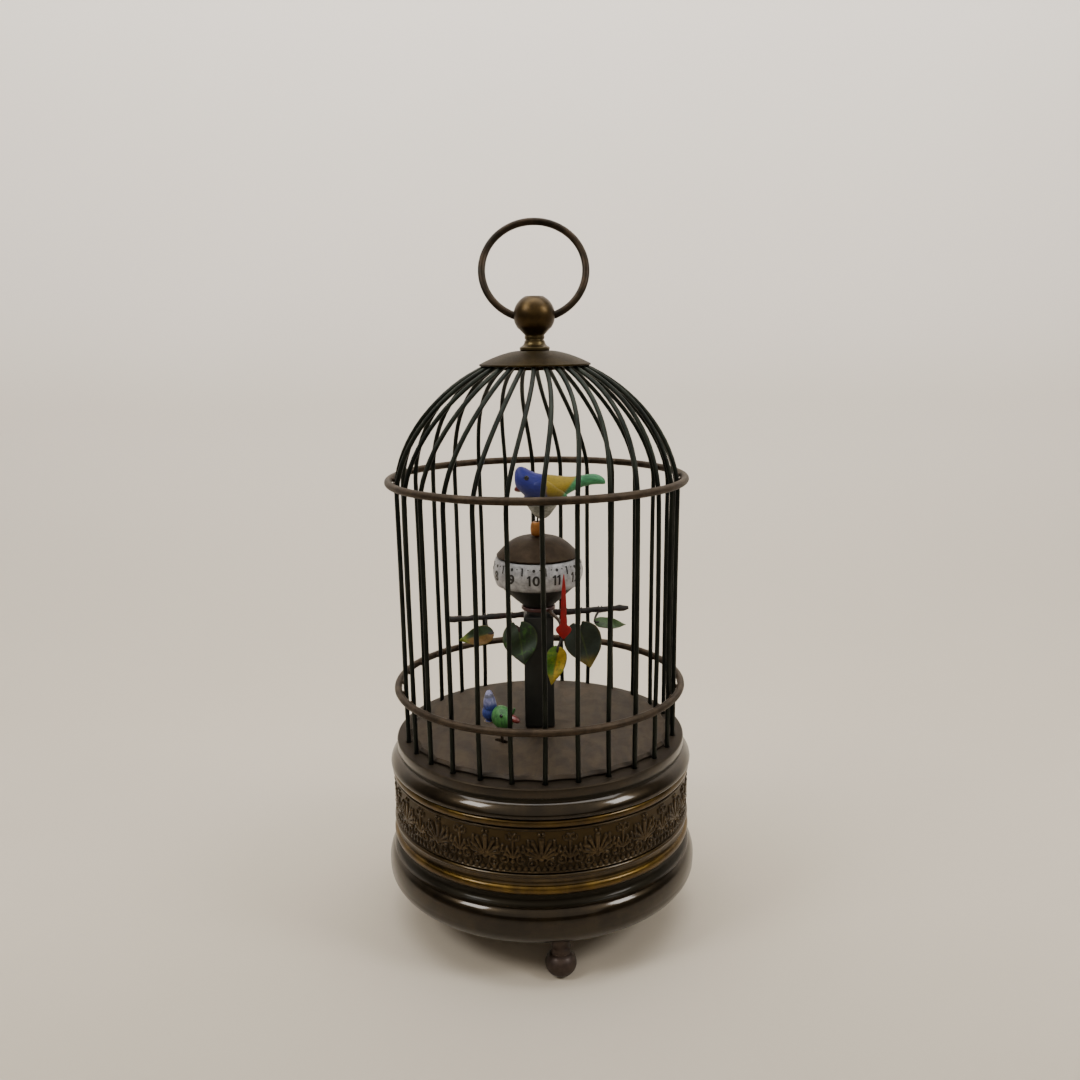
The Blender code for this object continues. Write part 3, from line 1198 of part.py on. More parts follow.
def build_clock():
    make_feet()
    make_plinth()
    make_cover()
    make_frieze()
    make_deck()
    make_floor()
    make_cage()
    make_cap()
    make_finial()
    make_ring()
    make_post()
    make_bowl()
    make_pointer()
    make_branch()
    make_plates()
    hour_turn = anchor("hour_turn", (0, 0, heavy_level))
    make_dial(hour_turn)
    hour_tooth_angle = make_hour_arbor(hour_turn)
    make_knob(anchor("knob_turn", (*knob_place, heavy_level)), hour_tooth_angle)
    make_barrel(anchor("barrel_turn", (*barrel_place, heavy_level)))
    make_key(anchor("key_turn", (*barrel_place, cover_bottom)))
    make_third(anchor("third_turn", (*third_place, light_level)))
    make_escape(anchor("escape_turn", (*escape_place, escape_level)))
    make_pallets(anchor("pallet_rock", (*pallet_place, fork_level)))
    make_balance(anchor("balance_swing", (*balance_place, balance_level)))
    bird_turn = anchor("bird_turn", (0, 0, crank_level))
    make_bird_rod(bird_turn)
    make_top_bird(bird_turn)
    make_floor_bird(anchor("peck", (*peck_place, peck_axis_height)))


build_clock()
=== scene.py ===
# %% [markdown]
# # A birdcage automaton clock
#
# The clock stands in a domed cage of dark wires on a turned brass base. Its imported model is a
# fixed frame: every solid already sits in its right place and knows which body it moves with. This
# lesson dresses that frame. Each cell takes one piece of the clock, says what it is, and makes a
# finer one that rides on the same body. Sizes are written in millimetres, and a piece is turned
# into metres only when it is finished.

# %% Load the fixed frame
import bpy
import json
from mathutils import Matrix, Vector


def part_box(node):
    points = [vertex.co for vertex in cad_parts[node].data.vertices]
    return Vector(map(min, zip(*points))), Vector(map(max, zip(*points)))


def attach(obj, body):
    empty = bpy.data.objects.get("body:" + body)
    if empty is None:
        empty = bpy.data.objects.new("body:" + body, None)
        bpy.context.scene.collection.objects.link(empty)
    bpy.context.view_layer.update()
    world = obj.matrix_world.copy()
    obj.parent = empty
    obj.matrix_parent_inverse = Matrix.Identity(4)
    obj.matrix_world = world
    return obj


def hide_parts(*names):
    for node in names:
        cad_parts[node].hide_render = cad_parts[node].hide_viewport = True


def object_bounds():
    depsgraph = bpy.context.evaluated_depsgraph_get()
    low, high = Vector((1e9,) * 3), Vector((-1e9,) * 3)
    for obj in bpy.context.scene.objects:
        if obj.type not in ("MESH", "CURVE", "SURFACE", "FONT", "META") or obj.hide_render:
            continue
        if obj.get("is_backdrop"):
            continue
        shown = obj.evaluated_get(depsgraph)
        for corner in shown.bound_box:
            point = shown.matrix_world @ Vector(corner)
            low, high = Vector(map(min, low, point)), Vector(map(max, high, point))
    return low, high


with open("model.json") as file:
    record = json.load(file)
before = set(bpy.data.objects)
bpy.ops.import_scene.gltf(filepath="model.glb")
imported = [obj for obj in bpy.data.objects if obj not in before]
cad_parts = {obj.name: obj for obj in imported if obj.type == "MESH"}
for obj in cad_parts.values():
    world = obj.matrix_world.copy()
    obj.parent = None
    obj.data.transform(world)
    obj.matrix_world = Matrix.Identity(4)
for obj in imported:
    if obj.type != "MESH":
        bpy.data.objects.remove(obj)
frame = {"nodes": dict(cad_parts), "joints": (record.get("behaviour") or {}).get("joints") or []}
cad_box = [list(corner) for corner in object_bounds()]

import json
import math
import random

import bmesh
import bpy
import numpy as np
from mathutils import Matrix, Vector

MM = 0.001


def reach(node):
    """Lowest and highest corner of a node, in millimetres."""
    return [Vector(corner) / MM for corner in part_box(node)]


def bottom(node):
    return reach(node)[0].z


def top(node):
    return reach(node)[1].z


def middle(node):
    """Middle of the box round a node."""
    low, high = reach(node)
    return (low + high) / 2


# %% [markdown]
# ## Tools for shaping
#
# Most of the clock was made on a lathe, so the first tool spins an outline about the upright axis.
# An outline is a list of (radius, height) points. Three helpers write such lists: `bulge` draws the
# round back of a moulding between two points, or a hollow if the depth is negative, `eased` draws
# a soft line through a few points, and `arc` draws a part of a circle or ellipse. A Screw modifier
# could turn the outline as well, but the spin gives a mesh at once, which can be cut and joined. It
# ends where it starts, so it is merged there, and the doubles at the poles are merged too.

# %% Outlines and the lathe


def bulge(start, end, depth, full=True, steps=9):
    """Points from start to end, swelling to the right of the way by depth."""
    start, end = Vector(start), Vector(end)
    way = end - start
    side = Vector((-way.y, way.x)).normalized()
    points = []
    for step in range(steps + 1):
        share = step / steps
        if full:
            share = (1 - math.cos(math.pi * step / steps)) / 2
            swell = math.sin(math.pi * step / steps)
        else:
            swell = 4 * share * (1 - share)
        points.append(tuple(start + way * share + side * (swell * depth)))
    return points


def eased(points, steps=6):
    """A soft line through a few points, of two or three numbers each."""
    marks = [Vector(point) for point in points]
    marks = [2 * marks[0] - marks[1], *marks, 2 * marks[-1] - marks[-2]]
    line = []
    for before, first, second, after in zip(marks, marks[1:], marks[2:], marks[3:]):
        for step in range(steps):
            t = step / steps
            line.append(0.5 * (2 * first + (second - before) * t
                               + (2 * before - 5 * first + 4 * second - after) * t * t
                               + (3 * first - before - 3 * second + after) * t ** 3))
    line.append(marks[-2])
    return [tuple(point) for point in line]


def arc(wide, tall, centre, first, last, steps):
    """Points on an ellipse, from one angle in degrees to another."""
    return [(centre[0] + wide * math.cos(angle), centre[1] + tall * math.sin(angle))
            for angle in np.radians(np.linspace(first, last, steps + 1))]


def from_level(level, outline):
    """An outline whose heights were written from a level of its own."""
    return [(radius, level + rise) for radius, rise in outline]


def turned(outline, steps=96):
    """Spin an outline of (radius, height) points about the upright axis."""
    shape = bmesh.new()
    points = [shape.verts.new((point[0], 0, point[1])) for point in outline]
    edges = [shape.edges.new(pair) for pair in zip(points, points[1:])]
    if outline[0][0] > 0 and outline[-1][0] > 0:
        edges.append(shape.edges.new((points[-1], points[0])))
    bmesh.ops.spin(shape, geom=points + edges, cent=(0, 0, 0), axis=(0, 0, 1),
                   angle=math.tau, steps=steps, use_merge=True)
    bmesh.ops.remove_doubles(shape, verts=shape.verts, dist=1e-4)
    bmesh.ops.recalc_face_normals(shape, faces=shape.faces)
    return shape


def move(shape, offset):
    bmesh.ops.translate(shape, verts=shape.verts, vec=offset)
    return shape


def turn(shape, degrees, axis="Z", centre=(0, 0, 0)):
    bmesh.ops.rotate(shape, verts=shape.verts, cent=centre,
                     matrix=Matrix.Rotation(math.radians(degrees), 3, axis))
    return shape


def stretch(shape, x, y, z):
    bmesh.ops.scale(shape, verts=shape.verts, vec=(x, y, z))
    return shape


def polar(radius, degrees, height=0.0):
    """Place at a radius and an angle round the axis."""
    angle = math.radians(degrees)
    return Vector((radius * math.cos(angle), radius * math.sin(angle), height))


test_pin = turned([(0, 0), (1, 0), (1, 1), (0, 1)], 8)
print("lathe ready:", len(test_pin.faces), "faces on a test pin")
test_pin.free()

# %% [markdown]
# ## Wires, cuts and finished pieces
#
# A wire is a curve with a round bevel, turned into a mesh. Holes are cut with an exact Boolean,
# whose result is taken and whose cutter is thrown away. A flat sheet is raised to a plate by an
# extrusion, and edges are softened by a bevel. The last helper ends every piece: it merges
# doubles, makes the faces point outwards, goes to metres, hangs the piece on the body that carries
# it and hides the nodes that it stands for.

# %% Wires, cuts and the finishing helper


def link(name, data):
    """New object in the scene."""
    item = bpy.data.objects.new(name, data)
    bpy.context.scene.collection.objects.link(item)
    return item


def settled(item):
    """The shape of an object with its modifiers applied; the object itself is thrown away."""
    final = item.evaluated_get(bpy.context.evaluated_depsgraph_get())
    shape = bmesh.new()
    shape.from_mesh(final.to_mesh())
    final.to_mesh_clear()
    bpy.data.objects.remove(item, do_unlink=True)
    bmesh.ops.remove_doubles(shape, verts=shape.verts, dist=1e-4)
    bmesh.ops.recalc_face_normals(shape, faces=shape.faces)
    return shape


def wire(points, thickness, roundness=3, swell=None):
    """Round wire along a route; swell gives a share of the thickness at each point."""
    route = bpy.data.curves.new("route", "CURVE")
    route.dimensions = "3D"
    line = route.splines.new("POLY")
    line.points.add(len(points) - 1)
    for index, point in enumerate(points):
        line.points[index].co = (*point, 1)
        line.points[index].radius = swell[index] if swell else 1.0
    route.bevel_depth = thickness / 2
    route.bevel_resolution = roundness
    route.use_fill_caps = True
    return settled(link("route", route))


def as_mesh(shape, name="shape"):
    """Mesh of a shape, which is used up."""
    mesh = bpy.data.meshes.new(name)
    shape.to_mesh(mesh)
    shape.free()
    return mesh


def together(*shapes):
    """Several shapes as one, without joining their walls."""
    whole = bmesh.new()
    for shape in shapes:
        mesh = as_mesh(shape)
        whole.from_mesh(mesh)
        bpy.data.meshes.remove(mesh)
    return whole


def cut(shape, *cutters):
    """Shape with the room of the cutters taken out of it."""
    body = link("body", as_mesh(shape))
    tool = link("tool", as_mesh(together(*cutters)))
    knife = body.modifiers.new("cut", "BOOLEAN")
    knife.operation = "DIFFERENCE"
    knife.solver = "EXACT"
    knife.object = tool
    result = settled(body)
    bpy.data.objects.remove(tool, do_unlink=True)
    return result


def pin(radius, low, high, place=(0, 0), sides=24):
    """Upright round pin, also used as a drill."""
    shape = bmesh.new()
    bmesh.ops.create_cone(shape, cap_ends=True, segments=sides, radius1=radius, radius2=radius,
                          depth=high - low)
    return move(shape, (place[0], place[1], (low + high) / 2))


def soften(shape, edges, offset, segments=3):
    """Round some edges off."""
    bmesh.ops.bevel(shape, geom=edges, offset=offset, segments=segments, profile=0.5,
                    affect="EDGES", material=-1)


def level_edges(shape):
    """The edges of the flat top and bottom of a plate."""
    return [edge for edge in shape.edges if abs(edge.verts[0].co.z - edge.verts[1].co.z) < 1e-6]


def raised(shape, height):
    """Make a plate of a flat sheet, and give back the faces of its top."""
    lifted = bmesh.ops.extrude_face_region(shape, geom=shape.faces[:])["geom"]
    bmesh.ops.translate(shape, vec=(0, 0, height),
                        verts=[item for item in lifted if isinstance(item, bmesh.types.BMVert)])
    bmesh.ops.recalc_face_normals(shape, faces=shape.faces)
    return [item for item in lifted if isinstance(item, bmesh.types.BMFace)]


def bar(size, centre, heading=0.0, rounding=0.0):
    """Straight bar with softened edges."""
    shape = bmesh.new()
    bmesh.ops.create_cube(shape, size=1.0)
    stretch(shape, *size)
    if rounding:
        soften(shape, shape.edges[:], rounding)
    return move(turn(shape, heading), centre)


def complete(name, shape, finish, body, slot, *nodes, sharp=40.0, smooth=0):
    """Make a finished piece of a shape in millimetres and hand it to the frame."""
    bmesh.ops.remove_doubles(shape, verts=shape.verts, dist=1e-4)
    bmesh.ops.recalc_face_normals(shape, faces=shape.faces)
    stretch(shape, MM, MM, MM)
    mesh = as_mesh(shape, name)
    mesh.shade_smooth()
    mesh.set_sharp_from_angle(angle=math.radians(sharp))
    mesh.materials.append(finish.material)
    item = link(name, mesh)
    if smooth:
        rounder = item.modifiers.new("rounder", "SUBSURF")
        rounder.levels = rounder.render_levels = smooth
    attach(item, body)
    if nodes:
        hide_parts(*nodes)
    print(f"{name}: {len(mesh.polygons)} faces")
    return item


# %% [markdown]
# ## Shader sums written as sums
#
# A finish is a small net of nodes. Drawn by hand such a net is quickly lost in lines, so here a
# class wraps one output socket and gives it the signs of arithmetic: `1 - mask * 0.5` adds the two
# Math nodes that it needs. Every other node comes from one method, `node`, which takes the kind of
# node, its settings and what goes into its sockets. Colours never go through a Math node, which
# would turn them grey: they are blended by `mix`.

# %% A socket that can be added and multiplied


class Flow:
    """A number, vector or colour on its way through the nodes of a finish."""

    def __init__(self, finish, socket):
        self.finish = finish
        self.socket = socket

    def sum_with(self, operation, first, second):
        return self.finish.node("Math", {"operation": operation}, {0: first, 1: second})

    def __add__(self, other):
        return self.sum_with("ADD", self, other)

    def __sub__(self, other):
        return self.sum_with("SUBTRACT", self, other)

    def __rsub__(self, other):
        return self.sum_with("SUBTRACT", other, self)

    def __mul__(self, other):
        return self.sum_with("MULTIPLY", self, other)

    def __truediv__(self, other):
        return self.sum_with("DIVIDE", self, other)

    def __pow__(self, other):
        return self.sum_with("POWER", self, other)

    __radd__ = __add__
    __rmul__ = __mul__

    def size(self):
        return self.finish.node("Math", {"operation": "ABSOLUTE"}, {0: self})

    def sine(self):
        return self.finish.node("Math", {"operation": "SINE"}, {0: self})

    def rise(self, low, high):
        """0 below low, 1 above high, with a soft step between."""
        return self.finish.node("MapRange", {"interpolation_type": "SMOOTHSTEP"},
                                {"Value": self, "From Min": low, "From Max": high})

    def band(self, low, high, soft):
        """1 between low and high, 0 outside, with soft edges."""
        return self.rise(low - soft, low + soft) * (1 - self.rise(high - soft, high + soft))


class Finish:
    """A procedural material whose patterns are measured in millimetres on the piece."""

    def __init__(self, name, **constants):
        self.material = bpy.data.materials.new(name)
        self.material.use_nodes = True
        self.tree = self.material.node_tree
        self.shader = self.tree.nodes["Principled BSDF"]
        for socket, value in constants.items():
            self.shader.inputs[socket.replace("_", " ").title()
                               .replace("Ior", "IOR")].default_value = value
        metres = self.node("TexCoord", out="Object")
        self.spot = self.node("VectorMath", {"operation": "SCALE"}, {0: metres, "Scale": 1 / MM})
        self.x, self.y, self.z = [self.node("SeparateXYZ", {}, {0: self.spot}, out=axis)
                                  for axis in "XYZ"]

    def node(self, kind, settings=None, sockets=None, out=0):
        item = self.tree.nodes.new("ShaderNode" + kind)
        for name, value in (settings or {}).items():
            setattr(item, name, value)
        for name, value in (sockets or {}).items():
            self.feed(item.inputs[name], value)
        return Flow(self, item.outputs[out])

    def feed(self, socket, value):
        if isinstance(value, Flow):
            self.tree.links.new(value.socket, socket)
        elif isinstance(value, tuple) and len(value) == 3 and socket.type == "RGBA":
            socket.default_value = (*value, 1)
        else:
            socket.default_value = value

    def noise(self, grain, detail=4.0, rough=0.55, twist=0.0, along=(1, 1, 1)):
        """Cloudy pattern whose clouds are about grain millimetres, stretched by along."""
        place = self.node("Mapping", {}, {"Vector": self.spot, "Scale": along})
        return self.node("TexNoise", {}, {"Vector": place, "Scale": 1 / grain, "Detail": detail,
                                          "Roughness": rough, "Distortion": twist})

    def radius(self):
        """Distance from the upright axis of the clock."""
        return (self.x * self.x + self.y * self.y) ** 0.5

    def mix(self, share, first, second):
        return self.node("Mix", {"data_type": "RGBA"}, {0: share, 6: first, 7: second}, out=2)

    def show(self, **flows):
        for socket, value in flows.items():
            self.feed(self.shader.inputs[socket.replace("_", " ").title()], value)
        return self

    def emboss(self, height, depth):
        """Bump of a pattern; depth is its size in millimetres."""
        bump = self.node("Bump", {}, {"Height": height, "Distance": depth * MM, "Strength": 1.0})
        self.feed(self.shader.inputs["Normal"], bump)
        return self


print("finishes can be written as sums")

# %% [markdown]
# ## Finish of the base: lacquered brass
#
# The plinth and the deck were turned in brass, coloured a deep brown and lacquered, so they are
# dark with crisp white lights on their round backs. Where hands and cloths rubbed, on the torus
# and on the half-round under the shoulder, the brown is gone and warm gold shows. The finish
# reads the height on the piece to know which moulding it is on. The brown is treated as a dark
# metal, so that what it mirrors is brown as well, and the lacquer above it is a thin clear coat.
# The top of the deck is dusty, and the hollow under the torus and the groove get painted shade.

# %% Lacquered moulding


def lacquered(name, gold_bands, shaded_bands, flat_top=None):
    """Brown brass; a gold band is (low, high, share), a band of painted shade (low, high)."""
    finish = Finish(name, coat_roughness=0.1, coat_ior=1.5)
    cloud = finish.noise(9, 5, 0.6)
    grain = finish.noise(0.7, 3, 0.6)
    streak = finish.noise(2.4, 4, 0.6, along=(1, 1, 0.12))
    gold = 0.0
    for low, high, share in gold_bands:
        gold = gold + finish.z.band(low, high, 0.22) * share
    gold = gold * (0.8 + 0.25 * streak.rise(0.3, 0.62))
    gold = gold + finish.noise(1.3, 4, 0.7).rise(0.66, 0.8) * 0.12
    # painted shade: the hollow under the torus and the groove under the deck's rim are darkened
    dark = 0.0
    for low, high in shaded_bands:
        dark = dark + finish.z.band(low, high, 0.3)
    brown = finish.mix(cloud.rise(0.3, 0.7), (0.012, 0.0078, 0.0030), (0.024, 0.0155, 0.0062))
    brown = finish.mix(grain.rise(0.52, 0.75) * 0.4, brown, (0.009, 0.006, 0.003))
    brown = finish.mix(dark * 0.75, brown, (0.008, 0.0072, 0.004))
    warm = finish.mix(cloud.rise(0.35, 0.65), (0.058, 0.034, 0.007), (0.118, 0.071, 0.015))
    colour = finish.mix(gold, brown, warm)
    rough = 0.27 + 0.12 * cloud + 0.05 * gold + 0.16 * dark
    coat = (0.5 - 0.4 * dark) * (1 - 0.6 * gold)
    if flat_top is not None:
        dust = finish.z.rise(flat_top - 0.7, flat_top - 0.1)
        dusty = finish.mix(cloud, (0.020, 0.0145, 0.0095), (0.036, 0.027, 0.018))
        colour = finish.mix(dust * (0.6 + 0.4 * grain), colour, dusty)
        rough = rough + 0.24 * dust
        coat = coat * (1 - dust)
    finish.show(base_color=colour, roughness=rough, metallic=0.9 + 0.1 * gold, coat_weight=coat)
    return finish.emboss(grain * 0.4 + cloud * 0.6, 0.012)


gap = 0.3  # the solids of the frame stand this far apart
plinth_bottom, plinth_top = bottom("plinth_moulding"), bottom("frieze_band") - gap
deck_bottom, deck_top = top("frieze_band") + gap, top("deck_moulding")
torus_band = (plinth_top - 7.0, plinth_top - 3.7, 1.0)
bead_band = (plinth_top - 3.7, plinth_top + 0.4, 0.3)
# the hollow under the torus and the groove under the deck's rim carry painted shade
hollow_band = (plinth_bottom + 11.2, plinth_top - 7.4)
half_round_band = (deck_bottom - 0.4, deck_bottom + 2.7, 0.75)
groove_band = (deck_bottom + 7.4, deck_bottom + 8.8)
plinth_finish = lacquered("lacquered_plinth", [torus_band, bead_band], [hollow_band])
deck_finish = lacquered("lacquered_deck", [half_round_band], [groove_band], deck_top)
print(f"plinth {plinth_bottom:.2f} to {plinth_top:.2f}, deck {deck_bottom:.2f} to {deck_top:.2f}")

# %% [markdown]
# ## Other metals
#
# The pressed frieze keeps dark patina in its hollows and shines only on its raised leaves, so its
# finish reads how far a spot stands out from the drum. The cap, finial, ring, hoops and feet are
# bronzed brass, each a little different: one function makes them all from a dark and a light tone.
# The wires are painted greenish black, rubbed thin here and there.

# %% Frieze, bronzes and painted wire
frieze_radius = 48.85
frieze_relief = 0.68


def frieze_patina():
    """Dark in the hollows, worn bright on what stands out, brown on the plain ground."""
    finish = Finish("frieze_patina", coat_roughness=0.25)
    height = (finish.radius() - frieze_radius) / frieze_relief
    cloud = finish.noise(7, 4, 0.6)
    grain = finish.noise(0.5, 4, 0.65)
    hollow = finish.mix(cloud, (0.008, 0.0053, 0.0023), (0.023, 0.0147, 0.006))
    worn = finish.mix(cloud.rise(0.35, 0.65), (0.044, 0.028, 0.0108), (0.10, 0.067, 0.028))
    bright = height.rise(0.25, 1.0) * (0.5 + 0.6 * grain.rise(0.3, 0.7))
    ground = 1 - height.rise(0.02, 0.1)
    colour = finish.mix(bright, hollow, worn)
    colour = finish.mix(ground * (0.35 + 0.5 * finish.z.rise(43, 48)), colour,
                        (0.046, 0.030, 0.0105))
    finish.show(base_color=colour, metallic=0.9 + 0.1 * bright,
                roughness=0.42 - 0.16 * bright + 0.12 * grain, coat_weight=0.05 + 0.3 * bright)
    return finish.emboss(grain + 0.6 * cloud * ground, 0.05)


def bronzed(name, dark, light, gloss=0.42, metal=0.8, coat=0.25, pits=0.02):
    """Cloudy metal between two tones; gloss is its least roughness, pits their depth in mm."""
    finish = Finish(name, coat_roughness=0.22)
    cloud = finish.noise(5, 5, 0.62)
    grain = finish.noise(0.6, 4, 0.65)
    colour = finish.mix(cloud.rise(0.32, 0.68), dark, light)
    stain = tuple(0.4 * tone for tone in dark)
    colour = finish.mix(grain.rise(0.55, 0.8) * 0.5, colour, stain)
    finish.show(base_color=colour, metallic=metal + 0.1 * cloud, coat_weight=coat * cloud,
                roughness=gloss + 0.16 * grain)
    return finish.emboss(grain, pits)


def painted_wire():
    """Greenish black paint, rubbed to brown metal in places."""
    finish = Finish("greenish_black_wire", coat_roughness=0.2)
    cloud = finish.noise(6, 4, 0.6, along=(1, 1, 0.5))
    grain = finish.noise(0.45, 4, 0.7)
    colour = finish.mix(cloud.rise(0.35, 0.65), (0.006, 0.0078, 0.0055), (0.015, 0.018, 0.0125))
    rubbed = grain.rise(0.66, 0.78) * cloud.rise(0.4, 0.6)
    colour = finish.mix(rubbed * 0.7, colour, (0.030, 0.022, 0.013))
    finish.show(base_color=colour, roughness=0.42 + 0.2 * grain, metallic=0.85 + 0.1 * rubbed,
                coat_weight=0.03 * (1 - rubbed))
    return finish.emboss(grain + cloud, 0.02)


frieze_finish = frieze_patina()
wire_finish = painted_wire()
hoop_finish = bronzed("hoop_bronze", (0.026, 0.0175, 0.0105), (0.056, 0.039, 0.024),
                      gloss=0.5, coat=0.05)
cap_finish = bronzed("cap_bronze", (0.013, 0.0080, 0.0024), (0.028, 0.0185, 0.0058),
                     gloss=0.5, metal=0.95, coat=0.0)
ring_finish = bronzed("ring_bronze", (0.010, 0.0072, 0.004), (0.032, 0.0205, 0.0115),
                      gloss=0.38, metal=0.85, coat=0.1)
foot_finish = bronzed("foot_bronze", (0.026, 0.0165, 0.0125), (0.054, 0.036, 0.028),
                      metal=0.6, coat=0.1)
print("bronzes ready")

# %% [markdown]
# ## Paints
#
# The floor is brown and blotchy like old bronzed card and darker at its rim. Post and bowl are
# painted near-black, the hour band is silvery white, mottled and darker at its edges, and the crown
# above it is brown with faint lathe rings. The pointer is red enamel and the bead orange copper.

# %% Floor, post, dial and pointer paints


def floor_paint():
    """Brown swirls and blotches, darker towards the scalloped rim."""
    finish = Finish("blotchy_floor", coat_roughness=0.3)
    swirl = finish.noise(15, 5, 0.66, 2.6, (1, 0.4, 1))
    cloud = finish.noise(5, 5, 0.6, 0.6)
    grain = finish.noise(0.5, 4, 0.7)
    colour = finish.mix(swirl.rise(0.3, 0.7), (0.015, 0.0090, 0.0038), (0.046, 0.0290, 0.0130))
    colour = finish.mix(cloud.rise(0.5, 0.75) * 0.55, colour, (0.013, 0.0085, 0.0045))
    colour = finish.mix(grain.rise(0.6, 0.8) * 0.4, colour, (0.060, 0.044, 0.028))
    rim = finish.radius().rise(41.0, 43.4)
    colour = finish.mix(rim * 0.45, colour, (0.014, 0.0105, 0.0075))
    finish.show(base_color=colour, roughness=0.55 + 0.2 * cloud, metallic=0.5, coat_weight=0.03)
    return finish.emboss(grain * 0.6 + swirl * 0.4, 0.03)


def gloss_paint(name, dark, light, rough=0.35, grain_size=0.5, coat=0.3, depth=0.012):
    """Cloudy paint between two tones, with a fine grain; sizes are in mm."""
    finish = Finish(name, coat_roughness=0.15)
    cloud = finish.noise(3.5, 4, 0.6)
    grain = finish.noise(grain_size, 4, 0.65)
    colour = finish.mix(cloud.rise(0.3, 0.7), dark, light)
    colour = finish.mix(grain.rise(0.6, 0.8) * 0.35, colour, tuple(0.5 * tone for tone in dark))
    finish.show(base_color=colour, roughness=rough + 0.15 * grain,
                coat_weight=coat * (1 - 0.5 * cloud))
    return finish.emboss(grain + cloud, depth)


def dial_paint():
    """Silvery white, streaked upright and darker along both edges."""
    finish = Finish("mottled_dial_white", coat_roughness=0.3)
    low, high = bottom("hour_band"), top("hour_band")
    cloud = finish.noise(2.2, 5, 0.65, 0.4)
    streak = finish.noise(0.8, 4, 0.65, along=(1, 1, 0.25))
    grain = finish.noise(0.3, 3, 0.6)
    colour = finish.mix(cloud.rise(0.3, 0.7), (0.20, 0.20, 0.205), (0.42, 0.42, 0.43))
    colour = finish.mix(streak.rise(0.55, 0.75) * 0.45, colour, (0.12, 0.115, 0.11))
    edge = (1 - finish.z.rise(low, low + 1.6)) + finish.z.rise(high - 0.5, high)
    colour = finish.mix(edge * 0.4, colour, (0.07, 0.062, 0.054))
    finish.show(base_color=colour, roughness=0.42 + 0.2 * grain, metallic=0.15 + 0.1 * cloud,
                coat_weight=0.2)
    return finish.emboss(grain + cloud, 0.015)


def crown_paint():
    """Brown bronze with faint rings from the lathe."""
    finish = Finish("brown_crown", coat_roughness=0.3)
    cloud = finish.noise(4, 5, 0.62)
    grain = finish.noise(0.4, 4, 0.7)
    lathe = (finish.radius() * 5.0).sine()
    colour = finish.mix(cloud.rise(0.3, 0.7), (0.020, 0.0122, 0.0062), (0.040, 0.0262, 0.0142))
    colour = finish.mix(grain.rise(0.58, 0.8) * 0.4, colour, (0.007, 0.005, 0.0034))
    finish.show(base_color=colour, roughness=0.5 + 0.2 * grain, metallic=0.85, coat_weight=0.02)
    return finish.emboss(grain + lathe * 0.12, 0.02)


floor_finish = floor_paint()
dial_finish = dial_paint()
crown_finish = crown_paint()
post_finish = gloss_paint("post_black", (0.0022, 0.003, 0.0022), (0.005, 0.0062, 0.0045),
                          rough=0.45, coat=0.05)
print_finish = gloss_paint("numeral_black", (0.002, 0.002, 0.002), (0.006, 0.0055, 0.005),
                           rough=0.5)
red_finish = gloss_paint("pointer_enamel", (0.20, 0.0, 0.0006), (0.36, 0.0002, 0.002),
                         rough=0.5, grain_size=0.4, coat=0.04)
collar_finish = gloss_paint("collar_dull_red", (0.030, 0.004, 0.004), (0.062, 0.012, 0.011),
                            rough=0.45)
arm_finish = gloss_paint("pointer_arm_tan", (0.035, 0.018, 0.008), (0.075, 0.042, 0.021),
                         rough=0.45)
bead_finish = bronzed("bead_copper", (0.19, 0.060, 0.009), (0.36, 0.15, 0.034),
                      gloss=0.34, metal=0.6, coat=0.3)
clean_metal = {"gloss": 0.26, "metal": 0.9, "coat": 0.1, "pits": 0.01}
brass_finish = bronzed("movement_brass", (0.42, 0.28, 0.10), (0.62, 0.44, 0.18), **clean_metal)
steel_finish = bronzed("movement_steel", (0.30, 0.30, 0.31), (0.46, 0.46, 0.47), **clean_metal)
print("paints ready")

# %% [markdown]
# ## Feet, plinth and cover
#
# Three small balls on necks carry the clock. The plinth above them is one turned shell: a broad
# flange whose upper edge is a round roll, a dark hollow, a bright torus and a thin bead. It could
# be stacked from rings, but one outline keeps every ring true to the axis and leaves no seams, as
# on the lathe. The cover closes it from below, with holes for the key and the setting knob and
# three for the shanks of the feet.

# %% Turned base below the frieze
foot_places = [middle(f"ball_foot_{number}") for number in (1, 2, 3)]
foot_outline = [(0, 0), *arc(4.85, 4.25, (0, 4.1), -74, 46, 20)]
foot_outline += [(2.9, 7.4), (2.85, 7.8), (3.05, 8.0), (3.1, 9.4), (2.95, 9.7), (2.7, 10.0),
                 (2.65, 12.2), (2.8, 13.2), (3.0, 13.9), (1.5, 13.9), (1.5, 19.2), (0, 19.2)]
for number, place in enumerate(foot_places, start=1):
    foot = move(turned(foot_outline, 40), (place.x, place.y, 0))
    complete(f"foot_{number}", foot, foot_finish, "root", "aged_brass", f"ball_foot_{number}")

flange_top = plinth_bottom + 10.9
bead = bulge((48.9, -0.05), (49.0, -1.4), 0.75)
neck = bulge((48.65, -1.75), (49.05, -3.75), -0.25, False, 6)
torus = bulge((49.0, -3.9), (48.4, -6.9), 1.2, steps=16)
plinth_outline = from_level(plinth_top, [
    (46.3, 3.6), (47.2, 3.6), (47.2, 0), *bead, (48.8, -1.6), *neck, *torus, (48.0, -7.1),
    (47.75, -7.35)])
plinth_outline += bulge((47.7, plinth_top - 7.6), (49.6, flange_top + 0.15), -0.8, full=False)
roll = eased([(50.15, -0.3), (50.75, -0.95), (51.2, -1.75), (51.55, -2.75), (51.78, -3.9),
              (51.86, -5.2), (51.84, -6.2)], 3)
plinth_outline += from_level(flange_top, [(49.95, 0.05), (50.1, -0.25), *roll])
plinth_outline += bulge((51.8, flange_top - 6.5), (50.1, plinth_bottom + 0.35), 0.5, False, 10)
plinth_outline += from_level(plinth_bottom, [
    (49.8, 0.05), (49.4, 0), (40.9, 0), (40.5, 0.3), (40.5, 1.2), (49.8, 1.2), (46.3, 10.4)])
shank_hole = 1.8
